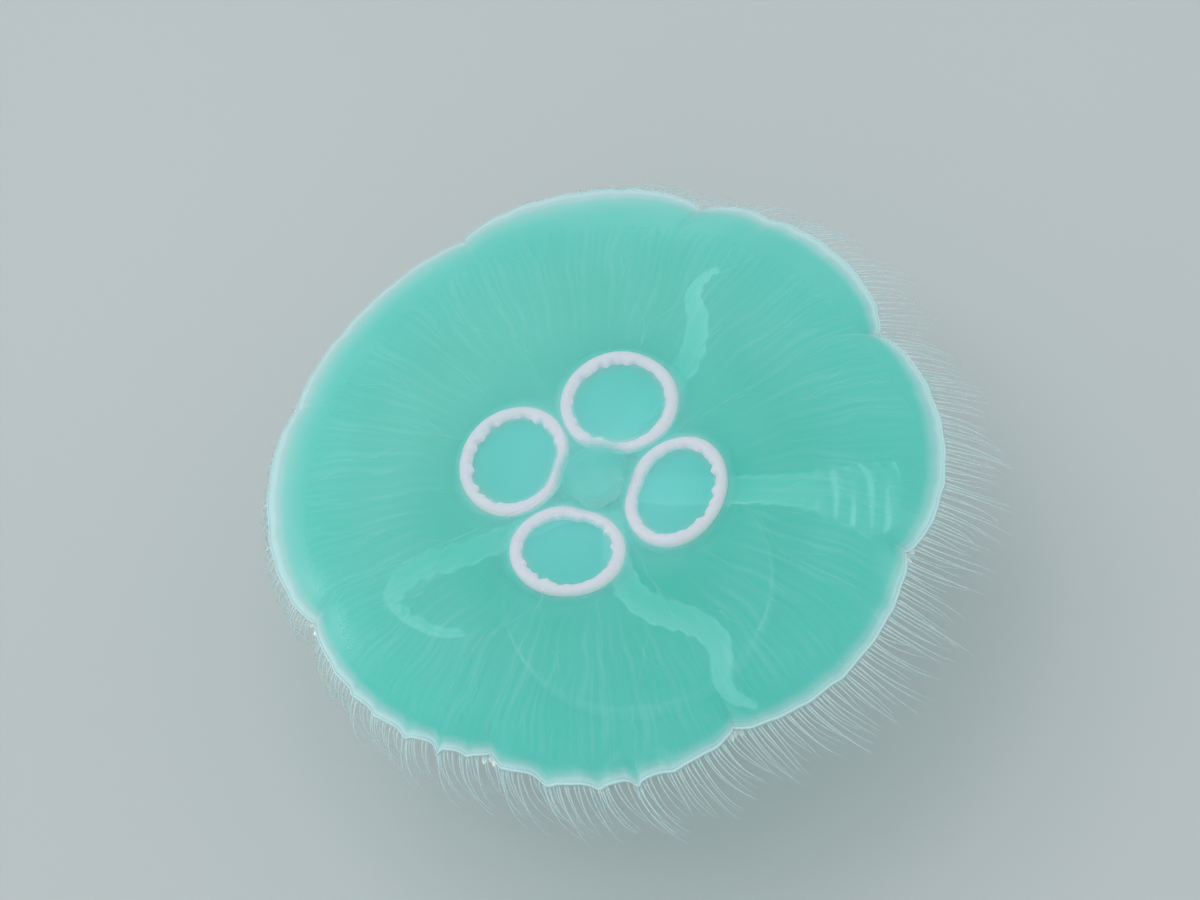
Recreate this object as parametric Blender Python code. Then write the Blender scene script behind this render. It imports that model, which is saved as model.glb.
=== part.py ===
"""Moon jellyfish, Aurelia aurita: a life-size still model on a plain display stand.

The bell is a shallow dome of clear jelly, divided into its thick crown and its eight
lobes. Each lobe ends in a thickened margin that carries a fringe of tentacles, and a
small sense organ hangs in the notch between two lobes. Under the crown lie the four
gonad rings, and the manubrium with its four oral arms, each in an upper and a lower
length. A rod rises from a flat round base to the underside of the manubrium.

Metres, +Z up. The origin is the middle of the base's underside, and the bell's axis is Z.
Routes and widths of small organs are given in millimetres from the bell's axis and from
the plane of its margin.
"""

import math

import bmesh
import bpy
import numpy as np
from mathutils import Vector

MM = 0.001
GAP = 0.3 * MM                     # between pieces that meet

# Bell
BELL_RADIUS = 120 * MM             # of the even dome that the lobes vary from
BELL_RISE = 30 * MM                # top of the dome above the margin
MARGIN_HEIGHT = 92 * MM            # margin above the base's underside
CAP_SHARE = 0.45                   # part of the rise that is an even round cap
SHOULDER_POWER = 7                 # the rest is flat on top and steep at the margin
JELLY_MIDDLE = 25 * MM             # thickness on the axis
JELLY_RIM = 1.6 * MM               # thickness at the margin
JELLY_POWER = 1.3                  # how soon the jelly thins towards the margin
CROWN_RADIUS = 54 * MM             # the crown ends and the lobes begin here
CROWN_SIDES = 64
CROWN_TOP_RINGS = (0.25, 0.5, 0.7, 0.87, 1.0)      # of the crown's radius
CROWN_BOTTOM_RINGS = (1.0, 0.55)
LOBE_ROWS = (0.0, 0.25, 0.48, 0.68, 0.84, 0.94, 1.0)   # from the crown to the margin

# Lobes, counted anticlockwise seen from above, from the notch on +X
LOBES = 8
LOBE_ANGLE = math.tau / LOBES
NOTCH_RADII = (113.5, 116.5, 118.0, 119.0, 112.0, 110.5, 112.0, 116.0)   # millimetres
LOBE_RADII = (124.5, 125.5, 121.5, 121.5, 115.5, 118.0, 120.0, 124.5)    # mid-lobe
LOBE_ROUNDNESS = 0.6               # below 1 makes the notch sharp and the lobe full
NOTCH_REACH = 6                    # how soon the notch fades towards the crown
LOBE_SAG = 2.0 * MM                # the middle of a lobe hangs lower than its notches
DENT_LOBE, DENT_AT = 0, 0.72       # one lobe has a small second dent in its margin
DENT_DEPTH, DENT_WIDTH = 1.5, 0.05

# Margin and tentacles
MARGIN_WIDTH = 2.6 * MM
MARGIN_THICKNESS = 1.8 * MM
MARGIN_LIP = 1.0 * MM              # the lip hangs below the bell's edge by this much
MARGIN_BEAD_INSET = 0.4 * MM       # the margin's upper edge is set back from its lip
MARGIN_BEAD_LIFT = 0.2 * MM        # and stands a little proud of the bell
TENTACLES_PER_LOBE = 8
TENTACLE_OUT = 13 * MM             # a tentacle's tip is this far out from the margin,
TENTACLE_DOWN = 22 * MM            # this far below it,
TENTACLE_DRIFT = 10 * MM           # and this far along a slow drift that bends them all
DRIFT_ANGLE = math.radians(-25)    # the way of the drift, anticlockwise from +X
TENTACLE_SIDES_AT = (1.3 * MM, 0.95 * MM, 0.75 * MM, 0.55 * MM)   # thickness, root to tip
TENTACLE_LOOK_BACK = 0.1           # share of a tentacle that gives its direction at a point

# Sense organs in the notches
RHOPALIUM_RADIUS = 1.1 * MM
RHOPALIUM_LENGTH = 3.6 * MM

# Gonads: angle in degrees, and the size of each ring against the usual one
GONAD_DISTANCE = 0.255 * BELL_RADIUS
GONAD_RADIAL = 0.155 * BELL_RADIUS       # half the ring's outer size, towards the axis
GONAD_TANGENTIAL = 0.180 * BELL_RADIUS   # and along the circle round it
GONAD_BAND = 4.8 * MM                    # width of the ring's own ribbon
GONAD_STATIONS = 28                      # cross-sections round a ring
GONAD_SIDES = 6                          # sides of each cross-section
GONADS = ((47.7, 1.10, 1.01), (137.3, 1.06, 1.03), (226.3, 0.98, 0.98), (317.7, 0.99, 1.03))
GONAD_FOLDS, GONAD_FOLD_DEPTH = 9, 0.10
GONAD_DENT = 1.2 * MM                    # the side that faces the axis is pinched in
GONAD_DENT_WIDTH = 0.3                   # radians round the ring
GONAD_HANG = 1.1                         # depth of a ring's middle, in half bands

# Manubrium: height above the margin and radius, both in millimetres
MANUBRIUM_PROFILE = ((1.0, 8.2), (-5.0, 7.2), (-10.0, 7.4), (-13.0, 6.2))
MANUBRIUM_TOP_RADIUS = 9.2
MANUBRIUM_CORNERS = 0.16                 # how far its four corners stand out
MANUBRIUM_SIDES = 24

# Oral arms: routes in millimetres, and the width of each arm against its usual shape
ARM_ROUTES = (
    ((9.6, 0, -8), (22, -8, -11), (42, -18, -13), (62, -28, -15), (80, -37, -18),
     (97, -44, -22)),
    ((0, 9.6, -8), (8, 18, -9), (26, 25, -10), (50, 36, -13), (63, 53, -17), (67, 67, -21),
     (75, 74, -26), (81, 77, -31)),
    ((-9.6, 0, -8), (-30, 3, -9), (-54, 6, -10), (-70, 10, -11), (-81, 10, -15),
     (-86, 10, -24), (-84, 7, -37), (-76, 3, -51), (-67, 3, -61)),
    ((0, -9.6, -8), (-6, -24, -11), (-7, -38, -14), (-2, -48, -16), (7, -57, -18),
     (12, -67, -21), (10, -74, -26), (7, -78, -32), (8, -83, -38), (14, -87, -44)),
)
ARM_LEAF = (3.2, 4.6, 5.0, 4.0, 1.5)     # half widths from root to tip, in millimetres
ARM_FAN = (4.0, 5.2, 5.6, 5.8, 6.0, 6.0, 6.6, 8.5, 12.5, 15.5, 12.0)   # spreads at its tip
ARM_SHAPES = (ARM_FAN, ARM_LEAF, ARM_LEAF, ARM_LEAF)
ARM_WIDTHS = (1.0, 0.9, 1.0, 1.0)
ARM_STATIONS = 12                        # cross-sections in each of an arm's two lengths
ARM_DROP = 0.8                           # how far a wing hangs for each unit of its width
ARM_RIB = 0.9 * MM                       # half the thickness along the rib
ARM_EDGE = 0.35 * MM                     # half the thickness at a wing's edge
ARM_FRILL = 0.9 * MM
ARM_FRILLS = 7                           # waves along each edge

# Stand
BASE_RADIUS = 52 * MM
BASE_HEIGHT = 10 * MM
BASE_EDGE = 1.2 * MM                     # chamfer round both edges
BASE_SIDES = 48
ROD_RADIUS = 3.0 * MM
ROD_HEAD_RADIUS = 5.5 * MM               # the rod opens into a small seat under the animal
ROD_HEAD_HEIGHT = 5.0 * MM
ROD_HEAD_LIP = 0.8 * MM
ROD_SIDES = 20

SMOOTH_ANGLE = math.radians(40)
ROUTE_STEPS = 400                        # fine steps that a route is measured in


def clear_scene():
    """Take every object out of the open file."""
    for old in list(bpy.data.objects):
        bpy.data.objects.remove(old, do_unlink=True)


def finish(name, colour, roughness, metallic=0.0, alpha=1.0):
    """A Principled material of one colour."""
    material = bpy.data.materials.new(name)
    material.use_nodes = True
    shader = material.node_tree.nodes["Principled BSDF"]
    shader.inputs["Base Color"].default_value = (*colour, 1.0)
    shader.inputs["Roughness"].default_value = roughness
    shader.inputs["Metallic"].default_value = metallic
    shader.inputs["Alpha"].default_value = alpha
    return material


def add_object(name, points, faces, material):
    """Make a mesh object from points and faces, smooth except at its real edges."""
    mesh = bpy.data.meshes.new(name)
    mesh.from_pydata([tuple(point) for point in points], [], faces)
    return add_mesh(name, mesh, material)


def add_mesh(name, mesh, material):
    """Put a mesh in the scene as a node, with its faces turned outwards."""
    shell = bmesh.new()
    shell.from_mesh(mesh)
    bmesh.ops.recalc_face_normals(shell, faces=shell.faces)
    shell.to_mesh(mesh)
    shell.free()
    mesh.materials.append(material)
    mesh.shade_smooth()
    mesh.set_sharp_from_angle(angle=SMOOTH_ANGLE)
    body = bpy.data.objects.new(name, mesh)
    bpy.context.scene.collection.objects.link(body)
    return body


def smooth_route(points, count):
    """Points at even steps of a Catmull-Rom curve through the given ones."""
    knots = np.array(points, dtype=float)
    knots = np.vstack((2 * knots[0] - knots[1], knots, 2 * knots[-1] - knots[-2]))
    steps = np.linspace(0, len(points) - 1, ROUTE_STEPS)
    first = np.minimum(steps.astype(int), len(points) - 2)
    t = (steps - first)[:, None]
    p0, p1, p2, p3 = (knots[first + k] for k in range(4))
    curve = 0.5 * (2 * p1 + (p2 - p0) * t + (2 * p0 - 5 * p1 + 4 * p2 - p3) * t ** 2
                   + (3 * p1 - p0 - 3 * p2 + p3) * t ** 3)
    length = np.concatenate(([0], np.cumsum(np.linalg.norm(np.diff(curve, axis=0), axis=1))))
    wanted = np.linspace(0, length[-1], count)
    return np.stack([np.interp(wanted, length, curve[:, axis]) for axis in range(3)], axis=1)


def loft(rings, start_pole=None, end_pole=None):
    """Points and faces of a body through closed rings, capped flat or to a pole."""
    sides = len(rings[0])
    points = [point for ring in rings for point in ring]
    faces = []
    for row in range(len(rings) - 1):
        for side in range(sides):
            after = (side + 1) % sides
            a, b = row * sides + side, row * sides + after
            faces.append((a, b, b + sides, a + sides))
    for pole, row in ((start_pole, 0), (end_pole, len(rings) - 1)):
        loop = [row * sides + side for side in range(sides)]
        if pole is None:
            faces.append(tuple(loop))
            continue
        points.append(pole)
        tip = len(points) - 1
        faces += [(tip, loop[side], loop[(side + 1) % sides]) for side in range(sides)]
    return points, faces


# ---- the bell's form ----

def lobe_place(angle):
    """Which lobe an angle falls in, and how far across it, from 0 to 1."""
    turns = (angle / LOBE_ANGLE) % LOBES
    lobe = np.minimum(np.floor(turns), LOBES - 1).astype(int)
    return lobe, np.clip(turns - lobe, 0, 1)


def margin_radius(angle):
    """The bell's outline: full lobes between sharp notches."""
    lobe, across = lobe_place(angle)
    notches = np.array(NOTCH_RADII)
    first, second = notches[lobe], notches[(lobe + 1) % LOBES]
    bulge = np.array(LOBE_RADII)[lobe] - (first + second) / 2
    bulge *= (4 * across * (1 - across)) ** LOBE_ROUNDNESS
    dent = DENT_DEPTH * np.exp(-((across - DENT_AT) / DENT_WIDTH) ** 2) * (lobe == DENT_LOBE)
    return (first + (second - first) * across + bulge - dent) * MM


def bell_share(radius, angle):
    """How far out a point lies: 0 on the axis and 1 on the margin."""
    edge = margin_radius(angle)
    pull = (BELL_RADIUS / edge - 1) * (radius / edge) ** NOTCH_REACH
    return radius / BELL_RADIUS * (1 + pull)


def top_height(radius, angle):
    """Height of the dome's upper surface."""
    share = bell_share(radius, angle)
    cap = CAP_SHARE * (1 - share ** 2)
    shoulder = (1 - CAP_SHARE) * (1 - share ** SHOULDER_POWER)
    sag = LOBE_SAG * np.sin(math.pi * lobe_place(angle)[1]) ** 2 * share ** NOTCH_REACH
    return MARGIN_HEIGHT + BELL_RISE * (cap + shoulder) - sag


def under_height(radius, angle):
    """Height of the bell's under surface: the dome less the jelly's thickness."""
    share = np.minimum(bell_share(radius, angle), 1)
    jelly = JELLY_RIM + (JELLY_MIDDLE - JELLY_RIM) * (1 - share ** 2) ** JELLY_POWER
    return top_height(radius, angle) - jelly


def around(radius, angle, height):
    """Points from distances to the axis, angles and heights."""
    radius, angle, height = np.broadcast_arrays(radius, angle, height)
    return np.stack((radius * np.cos(angle), radius * np.sin(angle), height), axis=-1)


def add_crown(material):
    """The thick middle of the bell, round in plan."""
    angle = np.linspace(0, math.tau, CROWN_SIDES, endpoint=False)
    rings = [around(share * CROWN_RADIUS, angle, top_height(share * CROWN_RADIUS, angle))
             for share in CROWN_TOP_RINGS]
    rings += [around(share * CROWN_RADIUS, angle, under_height(share * CROWN_RADIUS, angle))
              for share in CROWN_BOTTOM_RINGS]
    poles = [(0, 0, float(height(0.0, np.array(0.0)))) for height in (top_height, under_height)]
    add_object("bell_crown", *loft(rings, *poles), material)


def lobe_stations():
    """Shares across a lobe: its two sides and the root of each tentacle."""
    roots = (np.arange(TENTACLES_PER_LOBE) + 0.5) / TENTACLES_PER_LOBE
    return np.concatenate(([0], roots, [1]))


def parted_angle(lobe, across, radius):
    """Angles across a lobe at one radius, leaving half a gap at each side."""
    half_gap = np.arcsin(GAP / 2 / radius)
    return lobe * LOBE_ANGLE + half_gap + (LOBE_ANGLE - 2 * half_gap) * across


def add_lobe(lobe, material):
    """One eighth of the bell's outer part, from the crown to the margin."""
    across = lobe_stations()
    middle = (lobe + across) * LOBE_ANGLE
    outer = margin_radius(middle) - MARGIN_WIDTH - GAP
    inner = CROWN_RADIUS + GAP
    rows = np.array(LOBE_ROWS)[:, None]
    radius = inner + (outer - inner)[None, :] * rows
    angle = parted_angle(lobe, across[None, :], radius)
    top = around(radius, angle, top_height(radius, angle))
    under = around(radius, angle, under_height(radius, angle))
    rings = [np.concatenate((top[row], under[row, ::-1])) for row in range(len(LOBE_ROWS))]
    columns = len(across)
    points, faces = loft(rings)
    last = (len(rings) - 1) * 2 * columns
    ends = []
    for start in (0, last):
        ends += [(start + k, start + k + 1, start + 2 * columns - 2 - k,
                  start + 2 * columns - 1 - k) for k in range(columns - 1)]
    add_object(f"bell_lobe_{lobe + 1}", points, faces[:-2] + ends, material)


def add_margin(lobe, material):
    """The thickened margin of a lobe, with tentacles grown from its outer face."""
    half = TENTACLE_SIDES_AT[0] / 2 / (BELL_RADIUS * LOBE_ANGLE)
    roots = lobe_stations()[1:-1]
    across = np.sort(np.concatenate(([0], roots - half, roots + half, [1])))
    middle = (lobe + across) * LOBE_ANGLE
    edge = margin_radius(middle)
    corners = []
    for inset, lift in ((MARGIN_WIDTH, 0), (MARGIN_BEAD_INSET, MARGIN_BEAD_LIFT)):
        angle = parted_angle(lobe, across, edge - inset)
        corners.append(around(edge - inset, angle, top_height(edge - inset, angle) + lift))
    angle = parted_angle(lobe, across, edge)
    corners.append(around(edge, angle, top_height(edge, angle) - MARGIN_LIP))
    low = corners[0].copy()
    low[:, 2] -= MARGIN_THICKNESS
    corners.append(low)

    shell = bmesh.new()
    rings = [[shell.verts.new(corner[k]) for corner in corners] for k in range(len(across))]
    outer_faces = []
    for before, after in zip(rings, rings[1:]):
        for k in range(4):
            face = shell.faces.new((before[k], before[(k + 1) % 4], after[(k + 1) % 4], after[k]))
            if k == 1:
                outer_faces.append(face)
    shell.faces.new(rings[0])
    shell.faces.new(rings[-1])
    bmesh.ops.recalc_face_normals(shell, faces=shell.faces)
    for number, face in enumerate(outer_faces[1::2]):
        grow_tentacle(shell, face, lobe * TENTACLES_PER_LOBE + number)
    mesh = bpy.data.meshes.new(f"margin_{lobe + 1}")
    shell.to_mesh(mesh)
    shell.free()
    add_mesh(f"margin_{lobe + 1}", mesh, material)


def tentacle_point(start, outward, number, far):
    """The place of a tentacle's middle, a share of the way from its root to its tip."""
    drift = Vector((math.cos(DRIFT_ANGLE), math.sin(DRIFT_ANGLE), 0))
    reach = 0.92 + 0.08 * math.sin(2.4 * number)
    out = TENTACLE_OUT * (1 - (1 - far) ** 1.6)
    trail = TENTACLE_DRIFT * far ** 1.5
    down = TENTACLE_DOWN * far ** 1.15
    return start + (outward * out + drift * trail - Vector((0, 0, down))) * reach


def grow_tentacle(shell, face, number):
    """Draw a face out and down in tapering lengths, square to the way they run."""
    start = face.calc_center_median()
    outward = Vector((start.x, start.y, 0)).normalized()
    aside = Vector((-outward.y, outward.x, 0))
    corners = [((vert.co - start).dot(aside), vert.co.z - start.z) for vert in face.verts]
    steps = len(TENTACLE_SIDES_AT) - 1
    for step in range(1, steps + 1):
        face = bmesh.ops.extrude_discrete_faces(shell, faces=[face])["faces"][0]
        far = step / steps
        target = tentacle_point(start, outward, number, far)
        before = tentacle_point(start, outward, number, far - TENTACLE_LOOK_BACK)
        direction = (target - before).normalized()
        side = (aside - direction * aside.dot(direction)).normalized()
        lift = direction.cross(side)
        size = TENTACLE_SIDES_AT[step] / TENTACLE_SIDES_AT[0]
        for vert, (across, above) in zip(face.verts, corners):
            vert.co = target + (side * across + lift * above) * size


def add_rhopalium(notch, material):
    """The small club-shaped sense organ under a notch in the margin."""
    angle = notch * LOBE_ANGLE
    radius = float(margin_radius(np.array(angle)))
    edge = float(top_height(radius, np.array(angle)))
    centre = Vector((radius * math.cos(angle), radius * math.sin(angle),
                     edge - MARGIN_LIP - GAP - RHOPALIUM_LENGTH / 2))
    shell = bmesh.new()
    bmesh.ops.create_uvsphere(shell, u_segments=6, v_segments=4, radius=RHOPALIUM_RADIUS)
    for vert in shell.verts:
        vert.co.z *= RHOPALIUM_LENGTH / 2 / RHOPALIUM_RADIUS
        vert.co += centre
    mesh = bpy.data.meshes.new(f"rhopalium_{notch + 1}")
    shell.to_mesh(mesh)
    shell.free()
    add_mesh(f"rhopalium_{notch + 1}", mesh, material)


def add_gonad(number, degrees, radial_size, tangential_size, material):
    """A frilled ring of reproductive tissue, lying under the crown."""
    turn = math.radians(degrees)
    outwards = np.array((math.cos(turn), math.sin(turn)))
    sideways = np.array((-outwards[1], outwards[0]))
    phase = np.linspace(0, math.tau, GONAD_STATIONS, endpoint=False)
    half_band = GONAD_BAND / 2
    facing_axis = np.exp(-((phase - math.pi) / GONAD_DENT_WIDTH) ** 2)
    radial = GONAD_RADIAL * radial_size - half_band - GONAD_DENT * facing_axis
    tangential = GONAD_TANGENTIAL * tangential_size - half_band
    middle = (outwards * (GONAD_DISTANCE + radial * np.cos(phase))[:, None]
              + sideways * (tangential * np.sin(phase))[:, None])
    normal = (outwards * np.cos(phase)[:, None] + sideways * np.sin(phase)[:, None])
    distance, angle = np.hypot(*middle.T), np.arctan2(middle[:, 1], middle[:, 0])
    height = under_height(distance, angle) - GAP - GONAD_HANG * half_band
    folds = 1 - GONAD_FOLD_DEPTH * (1 + np.sin(GONAD_FOLDS * phase + number)) / 2
    section = np.linspace(0, math.tau, GONAD_SIDES, endpoint=False)
    rings = []
    for station in range(GONAD_STATIONS):
        size = half_band * folds[station]
        flat = middle[station] + normal[station] * (size * np.cos(section))[:, None]
        rings.append(np.column_stack((flat, height[station] + size * np.sin(section))))
    points, faces = loft(rings + [rings[0]])
    count = GONAD_STATIONS * GONAD_SIDES
    faces = [tuple(point % count for point in face) for face in faces[:count]]
    add_object(f"gonad_{number + 1}", points[:count], faces, material)


def add_manubrium(material):
    """The short four-cornered stalk that carries the mouth."""
    angle = np.linspace(0, math.tau, MANUBRIUM_SIDES, endpoint=False)
    corners = 1 + MANUBRIUM_CORNERS * np.cos(4 * angle)
    ceiling = float(under_height(0.0, np.array(0.0))) - GAP
    rings = [around(MANUBRIUM_TOP_RADIUS * MM * corners, angle, ceiling)]
    rings += [around(radius * MM * corners, angle, MARGIN_HEIGHT + height * MM)
              for height, radius in MANUBRIUM_PROFILE]
    add_object("manubrium", *loft(rings), material)


def carried_frames(path):
    """Directions across and above a path, turned as little as possible along it."""
    along = np.gradient(path, axis=0)
    along /= np.linalg.norm(along, axis=1)[:, None]
    above = np.zeros_like(path)
    above[0] = (0, 0, 1)
    for k in range(len(path)):
        carried = above[max(k - 1, 0)]
        carried = carried - along[k] * carried.dot(along[k])
        above[k] = carried / np.linalg.norm(carried)
    return np.cross(above, along), above


def add_oral_arm(number, material):
    """A folded, frilled leaf of tissue, in an upper and a lower length."""
    total = 2 * ARM_STATIONS
    path = smooth_route(ARM_ROUTES[number], total) * MM + np.array((0, 0, MARGIN_HEIGHT))
    across, above = carried_frames(path)
    share = np.linspace(0, 1, total)
    shape = ARM_SHAPES[number]
    half_width = np.interp(share, np.linspace(0, 1, len(shape)), shape)
    half_width *= ARM_WIDTHS[number] * MM
    rings = []
    for k in range(total):
        ring = [path[k] + above[k] * ARM_RIB]
        for side in (1, -1):
            wave = math.sin(math.tau * ARM_FRILLS * share[k] + side + number)
            lift = ARM_FRILL * wave * half_width[k] / half_width.max()
            edge = (path[k] + across[k] * side * half_width[k]
                    - above[k] * (ARM_DROP * half_width[k] - lift))
            upper, lower = edge + above[k] * ARM_EDGE, edge - above[k] * ARM_EDGE
            ring += [upper, lower] if side == 1 else [lower, upper]
            if side == 1:
                ring.append(path[k] - above[k] * ARM_RIB)
        rings.append(np.array(ring))
    step = np.linalg.norm(path[ARM_STATIONS] - path[ARM_STATIONS - 1])
    joint = (rings[ARM_STATIONS] + rings[ARM_STATIONS - 1]) / 2
    shift = (rings[ARM_STATIONS] - rings[ARM_STATIONS - 1]) * (GAP / 2 / step)
    upper = rings[:ARM_STATIONS] + [joint - shift]
    lower = [joint + shift] + rings[ARM_STATIONS:]
    add_object(f"oral_arm_{number + 1}_upper", *loft(upper), material)
    add_object(f"oral_arm_{number + 1}_lower", *loft(lower), material)


def turned(profile, sides):
    """Rings of a turned body from its radii and heights."""
    angle = np.linspace(0, math.tau, sides, endpoint=False)
    return [around(radius, angle, height) for radius, height in profile]


def add_stand(base_material, rod_material):
    """A flat round base and the rod that carries the animal."""
    base = ((BASE_RADIUS - BASE_EDGE, 0), (BASE_RADIUS, BASE_EDGE),
            (BASE_RADIUS, BASE_HEIGHT - BASE_EDGE), (BASE_RADIUS - BASE_EDGE, BASE_HEIGHT))
    add_object("stand_base", *loft(turned(base, BASE_SIDES)), base_material)
    top = MARGIN_HEIGHT + MANUBRIUM_PROFILE[-1][0] * MM - GAP
    neck = top - ROD_HEAD_HEIGHT
    rod = ((ROD_RADIUS, BASE_HEIGHT + GAP), (ROD_RADIUS, neck),
           ((ROD_RADIUS + ROD_HEAD_RADIUS) / 2, neck + 0.6 * ROD_HEAD_HEIGHT),
           (ROD_HEAD_RADIUS, top - ROD_HEAD_LIP), (ROD_HEAD_RADIUS, top))
    add_object("stand_rod", *loft(turned(rod, ROD_SIDES)), rod_material)


def main():
    """Build the animal and its stand."""
    clear_scene()
    jelly = finish("clear_jelly", (0.55, 0.82, 0.80), 0.15, alpha=0.55)
    fringe = finish("margin_and_tentacles", (0.82, 0.93, 0.94), 0.3, alpha=0.8)
    gonad = finish("gonad", (0.84, 0.78, 0.88), 0.4)
    arm = finish("oral_arm", (0.74, 0.90, 0.89), 0.35, alpha=0.75)
    sense = finish("sense_organ", (0.80, 0.72, 0.62), 0.4)
    base = finish("stand_base", (0.72, 0.75, 0.75), 0.35)
    steel = finish("stand_rod", (0.72, 0.73, 0.74), 0.3, metallic=1.0)
    add_crown(jelly)
    for lobe in range(LOBES):
        add_lobe(lobe, jelly)
        add_margin(lobe, fringe)
        add_rhopalium(lobe, sense)
    for number, (degrees, radial_size, tangential_size) in enumerate(GONADS):
        add_gonad(number, degrees, radial_size, tangential_size, gonad)
    add_manubrium(arm)
    for number in range(len(ARM_ROUTES)):
        add_oral_arm(number, arm)
    add_stand(base, steel)


main()
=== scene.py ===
"""Looks of a life-size moon jellyfish on a plain display stand.

One clear skin makes the bell, the manubrium and the four oral arms. Inside it lie the
gonad rings with their milky membranes and the branching canals. A fringe of fine
tentacles and eight sense organs grow from the margin. The stand keeps its own solids
and gets its lacquer and its brushed steel here.

Metres, +Z up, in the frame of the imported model. Routes and widths of small organs are
in millimetres from the bell's axis and from the plane of its margin.
"""

import logging
import math
from dataclasses import dataclass, field
from enum import Enum

import bmesh
import bpy
import numpy as np
from mathutils import Matrix, Vector


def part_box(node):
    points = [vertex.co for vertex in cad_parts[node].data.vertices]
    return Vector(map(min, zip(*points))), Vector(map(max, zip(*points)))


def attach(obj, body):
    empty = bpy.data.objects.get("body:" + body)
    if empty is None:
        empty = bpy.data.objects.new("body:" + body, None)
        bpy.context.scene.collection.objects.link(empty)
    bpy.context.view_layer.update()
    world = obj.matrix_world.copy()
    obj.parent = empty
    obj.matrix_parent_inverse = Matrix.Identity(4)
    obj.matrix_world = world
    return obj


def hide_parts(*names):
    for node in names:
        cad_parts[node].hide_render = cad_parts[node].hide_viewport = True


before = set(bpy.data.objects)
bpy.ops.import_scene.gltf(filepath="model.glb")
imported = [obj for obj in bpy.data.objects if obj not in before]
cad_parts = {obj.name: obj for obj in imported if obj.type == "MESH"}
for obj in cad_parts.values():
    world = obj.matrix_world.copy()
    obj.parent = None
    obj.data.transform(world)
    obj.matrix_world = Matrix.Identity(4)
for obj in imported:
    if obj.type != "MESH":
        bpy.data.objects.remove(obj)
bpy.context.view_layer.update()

LOG = logging.getLogger("moon_jellyfish")
MM = 0.001
LOBES = 8
LOBE_ANGLE = math.tau / LOBES
UP = np.array((0.0, 0.0, 1.0))

Pair = tuple[float, float]
Span = Pair
Colour = tuple[float, float, float]
Wave = tuple[float, float, float]
Route = tuple[tuple[float, float, float], ...]


class Slot(Enum):
    """Names of the record's material slots."""

    JELLY = "jelly"
    FRINGE = "fringe"
    GONAD = "gonad"
    ORAL_ARM = "oral_arm"
    SENSE_ORGAN = "sense_organ"


class Ends(Enum):
    """How the two ends of a grid are closed."""

    POLES = "poles"
    RING = "ring"


# ---- numbers and curves ----


def smoothstep(value: np.ndarray, low: float, high: float) -> np.ndarray:
    """Ease from 0 at low to 1 at high: with t the clipped share between, 3t² - 2t³.

    Args:
        value: where to read the ease.
        low: value at and below which the ease is 0.
        high: value at and above which it is 1.

    Returns:
        The eased share, of the same shape as value.
    """
    share = np.clip((value - low) / (high - low), 0, 1)
    return share * share * (3 - 2 * share)


def through(knots: np.ndarray, at: np.ndarray) -> np.ndarray:
    """Values of a Catmull-Rom curve, which passes through its knots.

    Between knots p1 and p2 it is half of 2p1 + (p2 - p0)t + (2p0 - 5p1 + 4p2 - p3)t²
    + (3p1 - p0 - 3p2 + p3)t³.

    Args:
        knots: one row for each knot.
        at: places along the curve, 0 at the first knot and 1 at the last.

    Returns:
        One row for each place.
    """
    spans = len(knots) - 1
    padded = np.vstack((2 * knots[0] - knots[1], knots, 2 * knots[-1] - knots[-2]))
    steps = np.asarray(at) * spans
    first = np.clip(np.floor(steps), 0, spans - 1).astype(int)
    t = (steps - first)[:, None]
    p0, p1, p2, p3 = (padded[first + k] for k in range(4))
    return 0.5 * (2 * p1 + (p2 - p0) * t + (2 * p0 - 5 * p1 + 4 * p2 - p3) * t ** 2
                  + (3 * p1 - p0 - 3 * p2 + p3) * t ** 3)


def even_steps(path: np.ndarray, count: int) -> np.ndarray:
    """Points at even lengths along a finely stepped path.

    Args:
        path: the path's points, one row each.
        count: how many points to return.

    Returns:
        Points whose distance along the path grows by the same amount each time.
    """
    length = np.concatenate(([0], np.cumsum(np.linalg.norm(np.diff(path, axis=0), axis=1))))
    wanted = np.linspace(0, length[-1], count)
    return np.stack([np.interp(wanted, length, path[:, axis]) for axis in range(3)], axis=1)


def unit(vectors: np.ndarray) -> np.ndarray:
    """Vectors of the same directions and of length 1."""
    return vectors / np.linalg.norm(vectors, axis=-1, keepdims=True)


def hump(across: np.ndarray) -> np.ndarray:
    """A parabola from 0 at 0, over 1 in the middle, to 0 at 1: 4u(1 - u)."""
    return 4 * across * (1 - across)


def waves(at: np.ndarray, rows: tuple[Wave, ...], level: np.ndarray | float = 0.0,
          seed: float = 1.0) -> np.ndarray:
    """A level with sine waves added to it.

    Args:
        at: where to read the waves.
        rows: the size, the rate and the start of each wave.
        level: what they are added to.
        seed: a factor on their starts.

    Returns:
        The sum, of the same shape as at.
    """
    return sum((size * np.sin(rate * at + start * seed) for size, rate, start in rows), level)


def full_turn(count: int) -> np.ndarray:
    """Angles at even steps round a circle, without the last one, which is the first."""
    return np.linspace(0, math.tau, count, endpoint=False)


def wrapped(angle: np.ndarray) -> np.ndarray:
    """The same angles between -π and π."""
    return (angle + math.pi) % math.tau - math.pi


def compass(angle: np.ndarray) -> tuple[np.ndarray, np.ndarray]:
    """Level unit vectors away from the axis and round it: (cos a, sin a), (-sin a, cos a)."""
    cosine, sine = np.cos(angle), np.sin(angle)
    return np.stack((cosine, sine), axis=-1), np.stack((-sine, cosine), axis=-1)


def raised(plan: np.ndarray, height: np.ndarray) -> np.ndarray:
    """Points over places in plan, at the given heights."""
    height = np.broadcast_to(height, plan.shape[:-1])
    return np.concatenate((plan, height[..., None]), axis=-1)


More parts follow.
